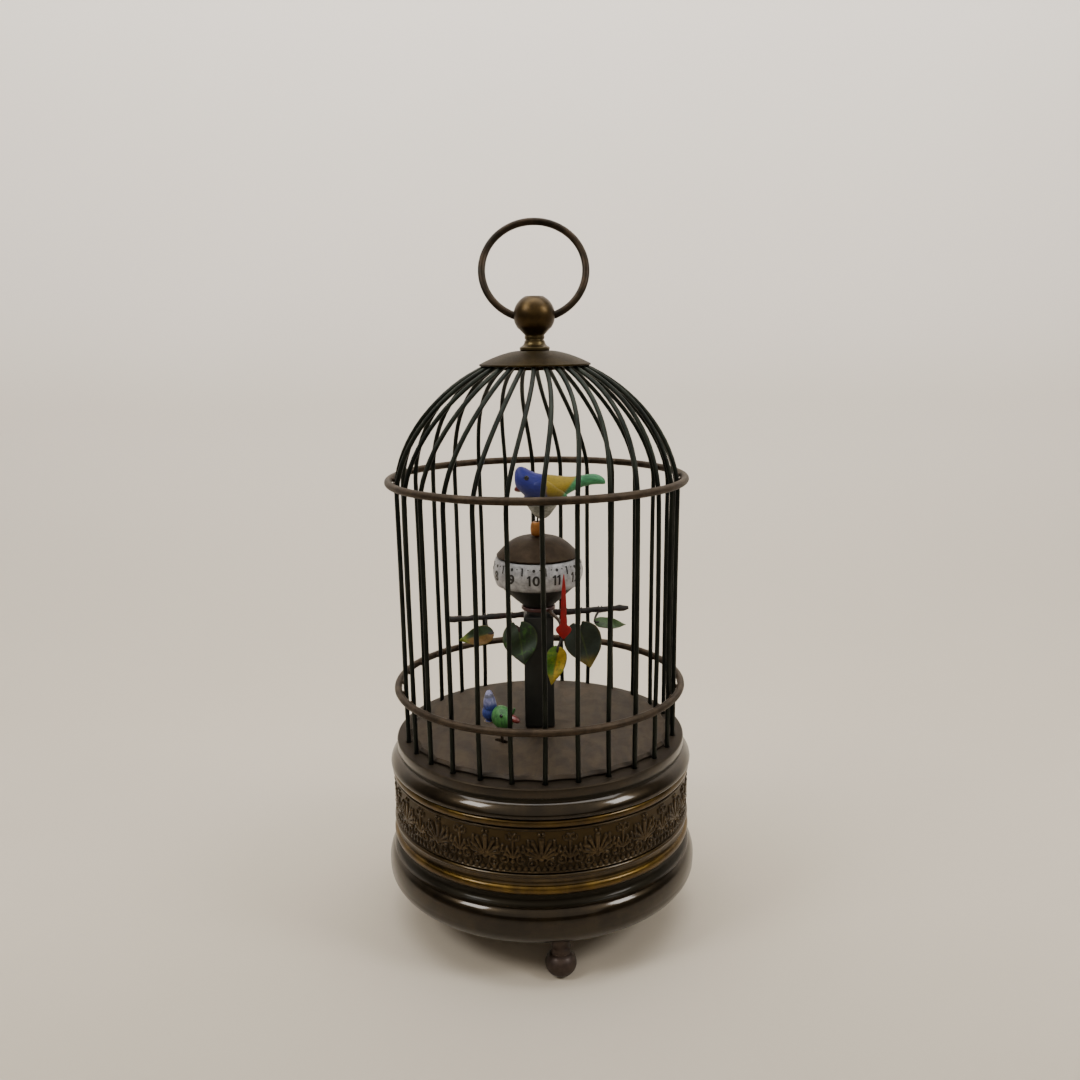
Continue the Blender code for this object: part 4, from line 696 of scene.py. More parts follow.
shank_holes = [pin(shank_hole, plinth_bottom - 1, plinth_bottom + 2, place)
               for place in foot_places]
complete("plinth", cut(turned(plinth_outline, 144), *shank_holes), plinth_finish, "root",
         "aged_brass", "plinth_moulding", sharp=30)

cover_low, cover_high = bottom("bottom_cover"), top("bottom_cover")
key_place, knob_place = middle("mainspring_barrel"), middle("setting_knob")
cover_outline = from_level(cover_low, [
    (0, 0.5), (24, 0.5), (24.6, 0), (39.6, 0), (40.0, 0.2), (47.6, 0.2)])
cover_outline += [(47.6, cover_high), (0, cover_high)]
cover_holes = [pin(radius, cover_low - 1, cover_high + 1, place) for radius, place in
               [*((shank_hole, place) for place in foot_places), (1.85, key_place),
                (1.55, knob_place)]]
complete("cover", cut(turned(cover_outline, 96), *cover_holes), foot_finish, "root", "aged_brass",
         "bottom_cover", sharp=30)

# %% [markdown]
# ## The pressed frieze
#
# A strip of thin brass was pressed with a running ornament: a palmette with a bead at its tip,
# scrolls at its foot, a small lily between every two, and a row of leaves below. All of that is a
# height above a plain strip, so it is written as a height function made of tapered strokes. A bump
# in the finish would be less work, but the ornament shows at the edge of the drum, where a bump is
# flat.

# %% Height of one repeat of the ornament
frieze_low, frieze_high = bottom("frieze_band"), top("frieze_band")
frieze_height = frieze_high - frieze_low
repeats = 18
cell_width = math.tau * (frieze_radius + 0.4) / repeats


def stroke(x, y, start, end, wide_start, wide_end, tall=1.0):
    """Rounded ridge from start to end whose half width runs from one value to the other."""
    start, way = np.array(start), np.array(end) - np.array(start)
    share = ((x - start[0]) * way[0] + (y - start[1]) * way[1]) / (way @ way)
    share = np.clip(share, 0, 1)
    away = np.hypot(x - start[0] - share * way[0], y - start[1] - share * way[1])
    wide = wide_start + (wide_end - wide_start) * share
    return tall * np.sqrt(np.clip(1 - (away / wide) ** 2, 0, 1))


def ornament(x, y):
    """Share of the full relief at points of the strip, x from the middle of the repeat."""
    side = np.abs(x)
    edge = cell_width / 2
    height = np.zeros_like(x)

    def add(ridge):
        np.maximum(height, ridge, out=height)

    def bead(spot, wide, tall=1.0):
        add(stroke(side, y, spot, (spot[0], spot[1] + 0.01), wide, wide, tall))

    def petal(root, angle, length, wide, squash=1.0):
        """Petal from a root along an angle; gives back where it ends, and its two directions."""
        along, up = math.cos(math.radians(angle)), math.sin(math.radians(angle))
        tip = (root[0] + length * along, root[1] + length * up * squash)
        add(stroke(side, y, root, tip, 0.25, wide, 0.8))
        return tip, along, up

    # the palmette, with a bead on each tip
    for angle, length, wide in ((90, 5.6, 0.8), (66, 5.3, 0.85), (42, 4.6, 0.85),
                                (17, 3.7, 0.8), (-10, 2.7, 0.6)):
        spread = math.radians(angle)
        root = (0.25 + 0.5 * math.cos(spread), 5.0 + 0.4 * math.sin(spread))
        tip, along, up = petal(root, angle, length, wide, 0.93)
        bead((tip[0] - 0.2 * along, tip[1] - 0.2 * up), 0.42, 1.05)
    # beads of the palmette, the scrolls and the stalks
    for spot, wide in (((0.62, 12.35), 0.55), ((0, 4.6), 0.95), ((2.75, 7.4), 0.5),
                       ((5.75, 4.4), 0.62), ((5.6, 6.7), 0.5), ((3.9, 10.3), 0.5),
                       ((5.5, 8.6), 0.42), ((2.9, 3.0), 0.5)):
        bead(spot, wide)
    # stalks, and the link between the scrolls
    for start, end, thin, wide, tall in (((4.0, 6.6), (3.9, 10.0), 0.3, 0.62, 0.7),
                                         ((4.6, 6.0), (5.5, 8.3), 0.3, 0.55, 0.7),
                                         ((5.9, 5.3), (7.0, 7.9), 0.3, 0.6, 0.75),
                                         ((4.4, 1.9), (5.4, 2.5), 0.35, 0.3, 0.7)):
        add(stroke(side, y, start, end, thin, wide, tall))
    # two scrolls, one turning each way
    for (middle_x, middle_y), size, way in (((2.9, 3.1), 1.75, 1), ((5.9, 4.2), 1.6, -1)):
        for share in np.linspace(0, 1, 26):
            angle = math.radians(90 + way * 360 * share)
            out = size * (1 - 0.55 * share)
            spot = (middle_x + out * math.cos(angle), middle_y + out * math.sin(angle))
            add(stroke(side, y, spot, (spot[0] + 0.01, spot[1]), 0.4, 0.4, 0.85 - 0.25 * share))
    # the lily between two palmettes, under a small ring
    for angle, length, wide in ((90, 5.6, 0.6), (118, 3.6, 0.65), (146, 2.6, 0.55)):
        bead(petal((edge, 4.6), angle, length, wide)[0], 0.4)
    for spot in arc(0.95, 0.95, (edge - 1.0, 11.3), 90, -195, 19):
        bead(spot, 0.38, 0.75)
    bead((edge, 3.6), 0.8, 0.9)
    # a row of leaves at the foot, and a thin line along either border
    leaves = np.abs((x / (cell_width / 9)) % 1 - 0.5) * (cell_width / 9)
    add(0.75 * np.sqrt(np.clip(1 - (leaves / (0.8 - 0.25 * (y - 1.4))) ** 2
                               - ((y - 1.4) / 1.0) ** 2, 0, 1)))
    for level, wide, tall in ((0.25, 0.3, 0.75), (13.85, 0.4, 0.7)):
        add(tall * np.sqrt(np.clip(1 - ((y - level) / wide) ** 2, 0, 1)))
    return height


# %% [markdown]
# ## The frieze bent round its drum
#
# One repeat is a flat grid. Its points are lifted by the height function and bent through their
# share of the circle. A spin copies the repeat round the drum, and the doubles at the joints are
# merged. Both rims are then drawn inwards and bridged, which gives the strip its back.

# %% Raise, bend and repeat the ornament
columns, rows = 72, 60
frieze_inside = 47.5
frieze = bmesh.new()
bmesh.ops.create_grid(frieze, x_segments=columns, y_segments=rows, size=0.5)
flat = np.array([vert.co[:2] for vert in frieze.verts])
across, up = flat[:, 0] * cell_width, (flat[:, 1] + 0.5) * frieze_height
relief = ornament(across, up)
for vert, along, rise, height in zip(frieze.verts, across, up, relief):
    angle = along / cell_width * math.tau / repeats - math.pi / 2
    distance = frieze_radius + frieze_relief * float(height)
    vert.co = (distance * math.cos(angle), distance * math.sin(angle), frieze_low + rise)
bmesh.ops.spin(frieze, geom=frieze.verts[:] + frieze.edges[:] + frieze.faces[:], cent=(0, 0, 0),
               axis=(0, 0, 1), angle=math.tau * (repeats - 1) / repeats, steps=repeats - 1,
               use_duplicate=True)
bmesh.ops.remove_doubles(frieze, verts=frieze.verts, dist=0.01)
rims = [edge for edge in frieze.edges if edge.is_boundary]
inner = bmesh.ops.extrude_edge_only(frieze, edges=rims)["geom"]
for vert in {vert for item in inner if isinstance(item, bmesh.types.BMEdge)
             for vert in item.verts}:
    vert.co.xy = vert.co.xy.normalized() * frieze_inside
walls = [edge for edge in frieze.edges if edge.is_boundary]
bmesh.ops.bridge_loops(frieze, edges=walls)
complete("frieze", frieze, frieze_finish, "root", "embossed_brass", "frieze_band", sharp=50)

# %% [markdown]
# ## Deck and floor
#
# The deck stands on the frieze: a gilt half-round, a dark round shoulder, a narrow groove and a
# flat top ring drilled for the 28 wires. On it lies a brown floor disc. Its edge is scooped
# between the wires, so each wire has a cusp to lean on. The scoops are cut into the disc's circle
# point by point, which is lighter than 28 Boolean cuts. A slot in deck and disc lets the leg of the
# pecking bird swing.

# %% Deck with its holes and scalloped floor
wire_count = 28
wire_circle = 44.45
wire_first = -88.2
joint_place = {joint["name"]: Vector(joint["pos_m"]) / MM for joint in frame["joints"]}
peck_place = joint_place["peck"].to_2d()
peck_heading = math.degrees(math.atan2(peck_place.y, peck_place.x))


def wire_angle(number):
    """Degrees round the axis at which a wire stands."""
    return wire_first + 360 * number / wire_count


def leg_slot(low, high):
    """Slot with round ends, long across the line from the axis to the bird."""
    long_way = polar(1.75, peck_heading + 90)
    body = bar((2.2, 3.5, high - low), (*peck_place, (low + high) / 2), peck_heading)
    ends = [pin(1.1, low, high, peck_place + sign * long_way.xy) for sign in (-1, 1)]
    return [body, *ends]


deck_outline = from_level(deck_top, [
    (3.9, 0), (43.0, 0), (46.9, -0.02), (47.5, -0.12), (47.85, -0.45), (47.95, -0.9),
    (47.95, -2.9), (47.85, -3.15), (47.55, -3.3), (47.5, -4.2)])
shoulder = eased([(47.5, 7.3), (48.3, 6.78), (49.0, 6.1), (49.58, 5.35), (49.98, 4.65),
                  (50.2, 3.95), (50.1, 3.2), (49.3, 2.65)], 3)
half_round = bulge((49.05, 2.45), (49.05, 0.15), 0.75)
deck_outline += from_level(deck_bottom, [
    *shoulder, (48.9, 2.6), *half_round, (48.7, 0), (47.2, 0), (47.2, -3.6), (46.3, -3.6)])
deck_outline += from_level(deck_top, [(46.3, -1.5), (3.9, -1.5)])
cut_low, cut_high = deck_top - 2.5, deck_top + 1
sockets = [pin(1.0, cut_low, cut_high, polar(wire_circle, wire_angle(number)), 14)
           for number in range(wire_count)]
deck = cut(turned(deck_outline, 140), *sockets)
for cutter in leg_slot(cut_low, cut_high):
    deck = cut(deck, cutter)
complete("deck", deck, deck_finish, "root", "aged_brass", "deck_moulding", sharp=30)

floor_low, floor_high = bottom("floor_disc"), top("floor_disc")
floor_radius, scoop, scoop_steps = 43.4, 0.9, 12
floor = bmesh.new()
bmesh.ops.create_circle(floor, cap_ends=True, segments=wire_count * scoop_steps,
                        radius=floor_radius)
turn(floor, wire_first)
for vert in floor.verts:
    turned_by = math.degrees(math.atan2(vert.co.y, vert.co.x)) - wire_first
    share = (turned_by * wire_count / 360) % 1
    vert.co *= 1 - scoop / floor_radius * math.sin(math.pi * share)
    vert.co.z = floor_low
lid = raised(floor, 0.3)
for inward, upward in ((0.4, 0.45), (0.5, floor_high - floor_low - 0.75)):
    bmesh.ops.inset_region(floor, faces=lid, thickness=inward, depth=upward)
for cutter in leg_slot(floor_low - 1, floor_high + 1):
    floor = cut(floor, cutter)
complete("floor", floor, floor_finish, "root", "floor_brown", "floor_disc", sharp=30)

# %% [markdown]
# ## The cage
#
# Each of the 28 wires stands in its hole, rises almost straight, then bends over in an arch a
# little flatter than an ellipse, drawn round by ten degrees on the way to the cap. They were bent
# by hand, so no two are quite alike. Copies of one wire would look stamped, so each has its own
# route, and a seeded random number gives it a slight bow between the hoops. The hoops run outside
# the wires and are soldered to each, with a small drop of solder where they cross.

# %% Wires and hoops
wire_foot, wire_thickness = deck_top - 4.6, 1.5
dome_start, dome_rise, dome_radius, dome_top_radius = 144.0, 42.8, 45.1, 12.2
flatness, dome_twist, wire_steps = 1.8, math.radians(10), 18
waist_height, hoop_height, hoop_thickness = 79.8, 147.9, 2.4
hand = random.Random(11)


def cage_route(number):
    """Route of one wire, with the small faults of hand bending."""
    bow, sway, lean, low_sway = [hand.uniform(-1, 1) for _ in range(4)]
    route = []
    for step in range(wire_steps + 1):
        share = step / wire_steps
        height = wire_foot + (dome_start - wire_foot) * share
        above = min(max((height - waist_height) / (hoop_height - waist_height), 0), 1)
        below = min(max((height - deck_top) / (waist_height - deck_top), 0), 1)
        outward = wire_circle + (dome_radius - wire_circle) * share
        outward += 0.16 * bow * math.sin(math.pi * above)
        aside = 0.42 * sway * math.sin(math.pi * above) + 0.3 * lean * below * (1 - above)
        aside += 0.12 * low_sway * math.sin(math.pi * below)
        route.append((outward, aside, height))
    last = math.acos((dome_top_radius / dome_radius) ** (flatness / 2))
    for step in range(1, wire_steps + 1):
        share = step / wire_steps
        radius = dome_radius * math.cos(last * share) ** (2 / flatness)
        swing = dome_twist * share * share * (3 - 2 * share)
        swing += 0.25 * sway * math.sin(math.pi * share) / wire_circle
        height = dome_start + dome_rise * math.sin(last * share) ** (2 / flatness)
        route.append((radius * math.cos(swing), radius * math.sin(swing), height))
    return route


for number in range(wire_count):
    shape = turn(wire(cage_route(number), wire_thickness, 2), wire_angle(number))
    complete(f"wire_{number + 1:02d}", shape, wire_finish, "root", "dark_cage_wire",
             f"cage_wire_{number + 1:02d}", sharp=60)


def solder_drop(angle, distance, height):
    """Small lump where a hoop touches a wire."""
    drop = bmesh.new()
    bmesh.ops.create_uvsphere(drop, u_segments=8, v_segments=5, radius=1.0)
    stretch(drop, 0.5, 0.95, 0.75)
    return turn(move(drop, (distance, 0, height)), angle)


for node, radius, height in (("waist_hoop", 46.85, waist_height),
                             ("dome_hoop", 47.35, hoop_height)):
    ring = turned(arc(hoop_thickness / 2, hoop_thickness / 2, (radius, height), 0, 340, 17), 140)
    drops = [solder_drop(wire_angle(number), radius - 1.45, height)
             for number in range(wire_count)]
    complete(node + "_round", together(ring, *drops), hoop_finish, "root", "hoop_brass", node,
             sharp=50)

# %% [markdown]
# ## Cap, finial and carrying ring
#
# The cap is a shallow spun dome over the wire ends. The finial is turned from solid brass: a bell
# foot, a short neck and a ball whose top was filed flat. Its cross bore holds the two bent ends of
# the ring, which swings on them, so the ring rides on the handle's body. A torus would be quicker,
# but it has no ends that turn into the bore.

# %% Cap, finial and ring
cap_top = top("cage_cap")
cap_low = cap_top - 4.6
cap_outline = [(1.8, cap_top), (4.6, cap_top), (4.9, cap_top - 0.03)]
cap_outline += from_level(cap_low, [(17.5 - 12.7 * share, 0.55 + 4.05 * (1 - (1 - share) ** 1.6))
                                    for share in np.linspace(17 / 18, 0, 18)])
cap_outline += from_level(cap_low, [
    (17.6, 0.3), (17.55, 0.08), (17.3, 0), (16.2, 0), (15.7, 0.9), (11.8, 2.2), (11.7, -1.2),
    (10.5, -1.2), (10.5, 2.4), (1.8, 2.7)])
complete("cap", turned(cap_outline, 96), cap_finish, "root", "aged_brass", "cage_cap", sharp=30)

finial_low, ball_centre = cap_top + gap, joint_place["handle_swing"]
finial_outline = from_level(finial_low, [
    (0, -4.2), (1.5, -4.2), (1.5, -0.28), (4.5, -0.28), (4.75, 0), (4.75, 0.6), (4.5, 0.9),
    *bulge((4.35, 0.95), (3.2, 2.6), 0.3, False, 7), (2.95, 2.8), (2.9, 3.2), (3.1, 3.4),
    (3.15, 4.0), (3.0, 4.2), (3.1, 4.5), (3.75, 5.2), (4.75, 6.25)])
finial_outline += arc(6.5, 6.5, (0, ball_centre.z), -36, 62.5, 26)
finial_outline += from_level(finial_outline[-1][1], [(2.75, 0.12), (2.3, 0.17), (0, 0.19)])
bore = move(turn(pin(1.35, -9, 9), 90, "Y"), ball_centre)


def finial_bronze():
    """Yellower on the neck than on the ball."""
    finish = Finish("finial_bronze", coat_roughness=0.3)
    cloud = finish.noise(4, 5, 0.6)
    grain = finish.noise(0.5, 4, 0.65)
    ball = finish.z.rise(finial_low + 4.2, finial_low + 5.2)
    neck = finish.mix(cloud, (0.052, 0.038, 0.0155), (0.09, 0.066, 0.029))
    globe = finish.mix(cloud.rise(0.3, 0.7), (0.032, 0.0195, 0.0066), (0.058, 0.036, 0.0122))
    colour = finish.mix(ball, neck, globe)
    colour = finish.mix(grain.rise(0.58, 0.8) * 0.4, colour, (0.010, 0.006, 0.003))
    finish.show(base_color=colour, roughness=0.34 + 0.14 * grain, metallic=0.9 + 0.1 * cloud,
                coat_weight=0.06 * ball)
    return finish.emboss(grain, 0.015)


complete("finial_turned", cut(turned(finial_outline, 72), bore), finial_bronze(), "root",
         "aged_brass", "finial", sharp=35)

ring_radius, ring_lift, ring_thickness, ring_lean = 16.42, 15.2, 2.35, 22
opening = math.degrees(math.asin(7.6 / ring_radius))
round_part = [(x, 0, z) for x, z in
              arc(ring_radius, ring_radius, (0, ring_lift), opening - 90, 270 - opening, 96)]
right_end = eased([(1.6, 0, 0), (4.4, 0, 0), (6.3, 0, 0.07), round_part[0]], 5)
left_end = [(-x, y, z) for x, y, z in reversed(right_end)]
ring = wire(right_end[:-1] + round_part + left_end[1:], ring_thickness, 4)
ring = move(turn(ring, -ring_lean, "X"), ball_centre)
complete("carrying_ring", ring, ring_finish, "handle", "aged_brass", "handle_ring", sharp=60)

# %% [markdown]
# ## Post, bowl and ball dial
#
# A square painted post carries the ball. Its lower bowl is fixed and dark; the white hour band and
# the brown crown turn together once in twelve hours. All of them are turned, and the post is a bar
# with softened edges and a bore for the hour tube.

# %% Post, bowl, band and crown
post_low, neck_top = bottom("floor_disc") + 1.5, top("centre_post")
post_top, post_width, post_bore = neck_top - 2.7, 9.8, 2.8
shaft = bar((post_width, post_width, post_top - post_low), (0, 0, (post_low + post_top) / 2),
            rounding=0.5)
shaft = cut(shaft, pin(post_bore, post_low - 1, post_top + 1))
neck = turned([(post_bore, post_top - 0.6), (3.9, post_top - 0.6), (3.9, neck_top - 0.3),
               (3.6, neck_top), (post_bore, neck_top)], 48)
spigot = turned([(post_bore, deck_top - 1.5), (3.6, deck_top - 1.5), (3.6, post_low + 0.6),
                 (post_bore, post_low + 0.6)], 48)
complete("post", together(shaft, neck, spigot), post_finish, "root", "post_paint", "centre_post",
         sharp=35)

bowl_low, bowl_high = bottom("globe_bowl"), top("globe_bowl")
bowl_outline = [(post_bore, bowl_low), (4.3, bowl_low)]
bowl_outline += [(4.7 + 7.85 * share ** 0.92, bowl_low + (bowl_high - bowl_low) * share)
                 for share in np.linspace(0, 1, 15)]
bowl_outline += [(11.9, bowl_high), (11.3, bowl_high - 0.8), (7.6, bowl_low + 3.9),
                 (4.9, bowl_low + 1.6), (post_bore, bowl_low + 1.6)]
complete("bowl", turned(bowl_outline, 72), post_finish, "root", "post_paint", "globe_bowl")

band_low, band_high = bottom("hour_band"), top("hour_band")


def band_radius(height):
    """The hour band bulges by a millimetre at its middle."""
    return 13.65 + math.sin(math.pi * (height - band_low) / (band_high - band_low))


band_outline = [(13.2, band_low), (13.5, band_low + 0.05)]
band_outline += [(band_radius(level), level)
                 for level in np.linspace(band_low + 0.25, band_high - 0.2, 20)]
band_outline += [(13.5, band_high), (12.9, band_high)]
band_outline += from_level(band_low, [
    (13.6, 5.5), (12.8, 1.2), (4.1, 1.0), (4.1, 2.4), (2.5, 2.4), (2.5, 0), (12.8, 0)])
complete("hour_band_round", turned(band_outline, 96), dial_finish, "hour_dial", "dial_white",
         "hour_band", sharp=35)

crown_low, crown_high = band_high + gap, top("globe_crown")
crown_outline = from_level(crown_low, [
    (12.6, -1.2), (12.6, 0), (13.15, 0.02), (13.4, 0.2),
    *[(3.4 + 10.05 * (1 - share) ** 0.8, 0.5 + 5.8 * math.sin(share * math.pi / 2))
      for share in np.linspace(0, 1, 19)]])
crown_outline += from_level(crown_high, [(3.25, -0.02), (3.1, 0), (1.2, 0), (1.2, -1.0),
                                         (4.0, -1.2)])
crown_outline += from_level(crown_low, [(8.4, 3.4), (11.7, 0.4), (11.7, -1.2)])
complete("crown", turned(crown_outline, 96), crown_finish, "hour_dial", "crown_brown",
         "globe_crown", sharp=35)

# %% [markdown]
# ## Print of the dial
#
# The hours are printed on the band in thin black figures, with dots and strokes between them. Each
# figure is a letter of Blender's own font made into a mesh and fitted to one size; only the ones
# are bars with a flag. The print is sliced upright and level, so that it can bend both ways with
# the band, and it stands a little proud of it. Real print stays sharp where a picture would blur.

# %% Numbers, dots and strokes round the band
figure_wide, figure_tall, print_proud = 2.35, 3.3, 0.1


def flat_bar(wide, tall, place=(0, 0), heading=0):
    """Flat printed bar."""
    return bar((wide, tall, print_proud), (*place, 0), heading)


def digit(figure):
    """One flat figure and the room it takes; a one is a bar with a flag."""
    if figure == "1":
        return together(flat_bar(0.62, figure_tall), flat_bar(0.95, 0.5, (-0.45, 1.15), 35)), 1.5
    font = bpy.data.curves.new("figure", "FONT")
    font.body = figure
    font.size = 10
    font.offset = 0.3
    font.extrude = 0.3
    font.resolution_u = 5
    shape = settled(link("figure", font))
    places = np.array([vert.co for vert in shape.verts])
    low, high = places.min(axis=0), places.max(axis=0)
    move(shape, -(low + high) / 2)
    return stretch(shape, *((figure_wide, figure_tall, print_proud) / (high - low))), 2.7


def lettering(number):
    """The figures of a number side by side, centred."""
    figures = [digit(figure) for figure in str(number)]
    place = -sum(width for _, width in figures) / 2
    for shape, width in figures:
        move(shape, (place + width / 2, 0, 0))
        place += width
    return together(*[shape for shape, _ in figures])


def wrapped(shape, azimuth, level):
    """Slice a flat print both ways and bend it round the hour band."""
    for place in np.arange(-2.7, 2.71, 0.3):
        for way in ((1, 0, 0), (0, 1, 0)):
            bmesh.ops.bisect_plane(shape, geom=shape.verts[:] + shape.edges[:] + shape.faces[:],
                                   plane_co=Vector(way) * place, plane_no=way)
    for vert in shape.verts:
        across, rise, proud = vert.co
        distance = band_radius(level + rise)
        vert.co = polar(distance + 0.03 + proud, azimuth + math.degrees(across / distance),
                        level + rise)
    return shape


def dot(radius):
    """Flat round dot, as thick as the print."""
    shape = bmesh.new()
    bmesh.ops.create_cone(shape, cap_ends=True, segments=16, radius1=radius, radius2=radius,
                          depth=print_proud)
    return shape


prints = []
for hour in range(1, 13):
    azimuth = -95 + 30 * (hour - 10)
    for mark, aside, level in ((lettering(hour), 0, 4.1), (dot(0.5), 0, 7.3),
                               (flat_bar(0.5, 2.5), 15, 6.8),
                               (flat_bar(0.6, 0.3, (-0.3, 1.0)), 15, 6.8),
                               (dot(0.2), -7.5, 7.5), (dot(0.2), 7.5, 7.5)):
        prints.append(wrapped(mark, azimuth + aside, band_low + level))
complete("numerals", together(*prints), print_finish, "hour_dial", "post_paint", sharp=60)

# %% [markdown]
# ## Pointer
#
# The time is read where a red pointer, fixed to a thin collar on the neck of the post, stands
# before the band. It is cut from sheet: a narrow blade above and a spade-shaped heel below, hung
# from a bent tan arm. The blade is drawn flat by its half widths, raised to a plate and beveled, so
# its edge catches light, and is then turned into its place.

# %% Pointer, collar and arm


def pointing(shape, start, end, facing):
    """Turn a flat shape that runs along X so that it runs from start to end, facing a way."""
    along = (Vector(end) - Vector(start)).normalized()
    across = Vector(facing).cross(along).normalized()
    bmesh.ops.rotate(shape, verts=shape.verts, cent=(0, 0, 0),
                     matrix=Matrix((along, across, along.cross(across))).transposed())
    return move(shape, start)


def sheet_blade(half_widths, thickness):
    """Flat blade along X from (place, half width) pairs, with softened edges."""
    shape = bmesh.new()
    upper = [shape.verts.new((place, half, 0)) for place, half in half_widths]
    lower = [shape.verts.new((place, -half, 0)) for place, half in reversed(half_widths)]
    shape.faces.new(upper + lower)
    raised(shape, thickness)
    soften(shape, level_edges(shape), 0.1, 2)
    return move(shape, (0, 0, -thickness / 2))


heel = polar(12.0, -48.4, post_top - 6.2)
tip = polar(16.8, -61.0, band_low + 6.2)
drawn_length = 20.7
blade_widths = eased([(0.05, 0.12), (1.2, 1.25), (2.4, 2.25), (3.3, 2.5), (4.0, 2.05), (4.7, 1.2),
                      (6.0, 0.98), (9.5, 0.95), (13.5, 0.78), (17.5, 0.5), (drawn_length, 0.14)],
                     4)
blade_widths = [(place * (tip - heel).length / drawn_length, wide) for place, wide in blade_widths]
blade = pointing(sheet_blade(blade_widths, 0.5), heel, tip, (0, -1, 0))
collar_low = post_top + 1.8
collar = turned(from_level(collar_low, [(4.3, 0), (5.45, 0), (5.6, 0.25), (5.6, 0.8), (5.4, 1.1),
                                        (4.3, 1.1)]), 48)
arm_route = eased([polar(5.0, -50, collar_low + 0.5), polar(6.6, -52, collar_low - 0.2),
                   (heel.x - 1.4, heel.y + 3.4, collar_low - 2.6),
                   (heel.x - 0.5, heel.y + 1.2, heel.z + 3.4),
                   (heel.x - 0.1, heel.y + 0.25, heel.z + 1.6)], 6)
for name, shape, finish in (("pointer", blade, red_finish),
                            ("pointer_collar", collar, collar_finish),
                            ("pointer_arm", wire(arm_route, 1.15), arm_finish)):
    complete(name, shape, finish, "root", "pointer_red", "time_pointer")

# %% [markdown]
# ## Twig and leaves
#
# A rough twig is tied behind the post as a perch, with painted tin leaves on wire stems. The twig
# is a wire too, but a crooked one of uneven thickness, with a knot here and there. Its bark is
# near black with red and grey flecks.

# %% Twig
twig_left, twig_right, twig_depth, twig_middle, twig_rise = -31.5, 30.4, 6.4, 100.7, 3.4
crooked, uneven = 0.12, 0.14


def twig_height(along):
    """The twig rises a little from left to right."""
    return twig_middle + twig_rise * ((along - twig_left) / (twig_right - twig_left) - 0.5)


twig_hand = random.Random(5)
twig_route, twig_swell = [], []
for step in range(41):
    along = twig_left + 0.1 + (twig_right - twig_left - 0.2) * step / 40
    twig_route.append((along, twig_depth + crooked * twig_hand.uniform(-1, 1),
                       twig_height(along) + crooked * twig_hand.uniform(-1, 1)))
    knot = 0.16 if step % 7 == 3 else 0
    twig_swell.append(1 + uneven * twig_hand.uniform(-1, 1) + knot)
twig_swell[0], twig_swell[-1] = 0.7, 0.55


def bark():
    """Ridges along the twig, with red blotches and pale flecks."""
    finish = Finish("twig_bark")
    ridge = finish.noise(0.5, 6, 0.65, 0.3, (0.25, 1, 1))
    blotch = finish.noise(3.5, 3, 0.5)
    fleck = finish.noise(0.35, 2, 0.5)
    colour = finish.mix(ridge.rise(0.3, 0.7), (0.004, 0.003, 0.0022), (0.018, 0.013, 0.009))
    colour = finish.mix(blotch.rise(0.5, 0.66) * 0.6, colour, (0.045, 0.010, 0.006))
    colour = finish.mix(fleck.rise(0.66, 0.76) * 0.5, colour, (0.06, 0.05, 0.032))
    finish.show(base_color=colour, roughness=0.62 + 0.25 * ridge)
    return finish.emboss(ridge + 0.4 * fleck, 0.12)


twig_finish = bark()
twig = wire(twig_route, 1.95, 3, twig_swell)
complete("twig", twig, twig_finish, "root", "leaf_green", "leafy_branch", sharp=70)

# %% [markdown]
# ## Paint of the leaves
#
# The tin was painted by hand: one half of a leaf often lighter than the other, a tip of another
# colour, blotches, pale veins and a worn edge. A picture could carry all that, but sums on the
# leaf's own map, u across and v along it, stay sharp and follow the leaf wherever it is turned.

# %% Leaf paint


def leaf_paint(name, left, right, tip, spots, edge, ridge=(0.030, 0.055, 0.003)):
    """Painted tin leaf: two sides of the middle vein, a tip, blotches and a worn edge."""
    finish = Finish(name, coat_weight=0.08, coat_roughness=0.25)
    place = finish.node("UVMap", {"uv_map": "leaf"}, out="UV")
    across = finish.node("SeparateXYZ", {}, {0: place}, out="X")
    along = finish.node("SeparateXYZ", {}, {0: place}, out="Y")
    from_middle = (across - 0.5).size() * 2
    cloud = finish.noise(3.2, 4, 0.6, 0.6)
    brush = finish.noise(1.0, 5, 0.65, 0.3)
    fine = finish.noise(0.3, 3, 0.6)
    colour = finish.mix(across.rise(0.42, 0.58), left, right)
    colour = finish.mix((along + 0.25 * cloud).rise(0.78, 1.02), colour, tip)
    colour = finish.mix(cloud.rise(0.52, 0.66) * 0.85, colour, spots)
    colour = finish.mix(brush.rise(0.35, 0.75) * 0.5, colour, (0.004, 0.008, 0.002))
    vein_wave = (along * 9 - from_middle * 2.6) * math.pi
    vein = (vein_wave.sine().size()).rise(0.12, 0.0) * from_middle.band(0.04, 0.85, 0.04)
    middle = 1 - from_middle.rise(0.02, 0.075)
    lines = finish.node("Math", {"operation": "MAXIMUM"}, {0: vein * 0.5, 1: middle})
    colour = finish.mix(lines * 0.55, colour, ridge)
    worn = (from_middle + 0.35 * (brush - 0.5)).rise(0.86, 0.99)
    colour = finish.mix(worn * 0.8, colour, edge)
    finish.show(base_color=colour, roughness=0.48 + 0.3 * brush)
    return finish.emboss(brush * 0.5 + fine * 0.3 - lines * 0.6, 0.05)


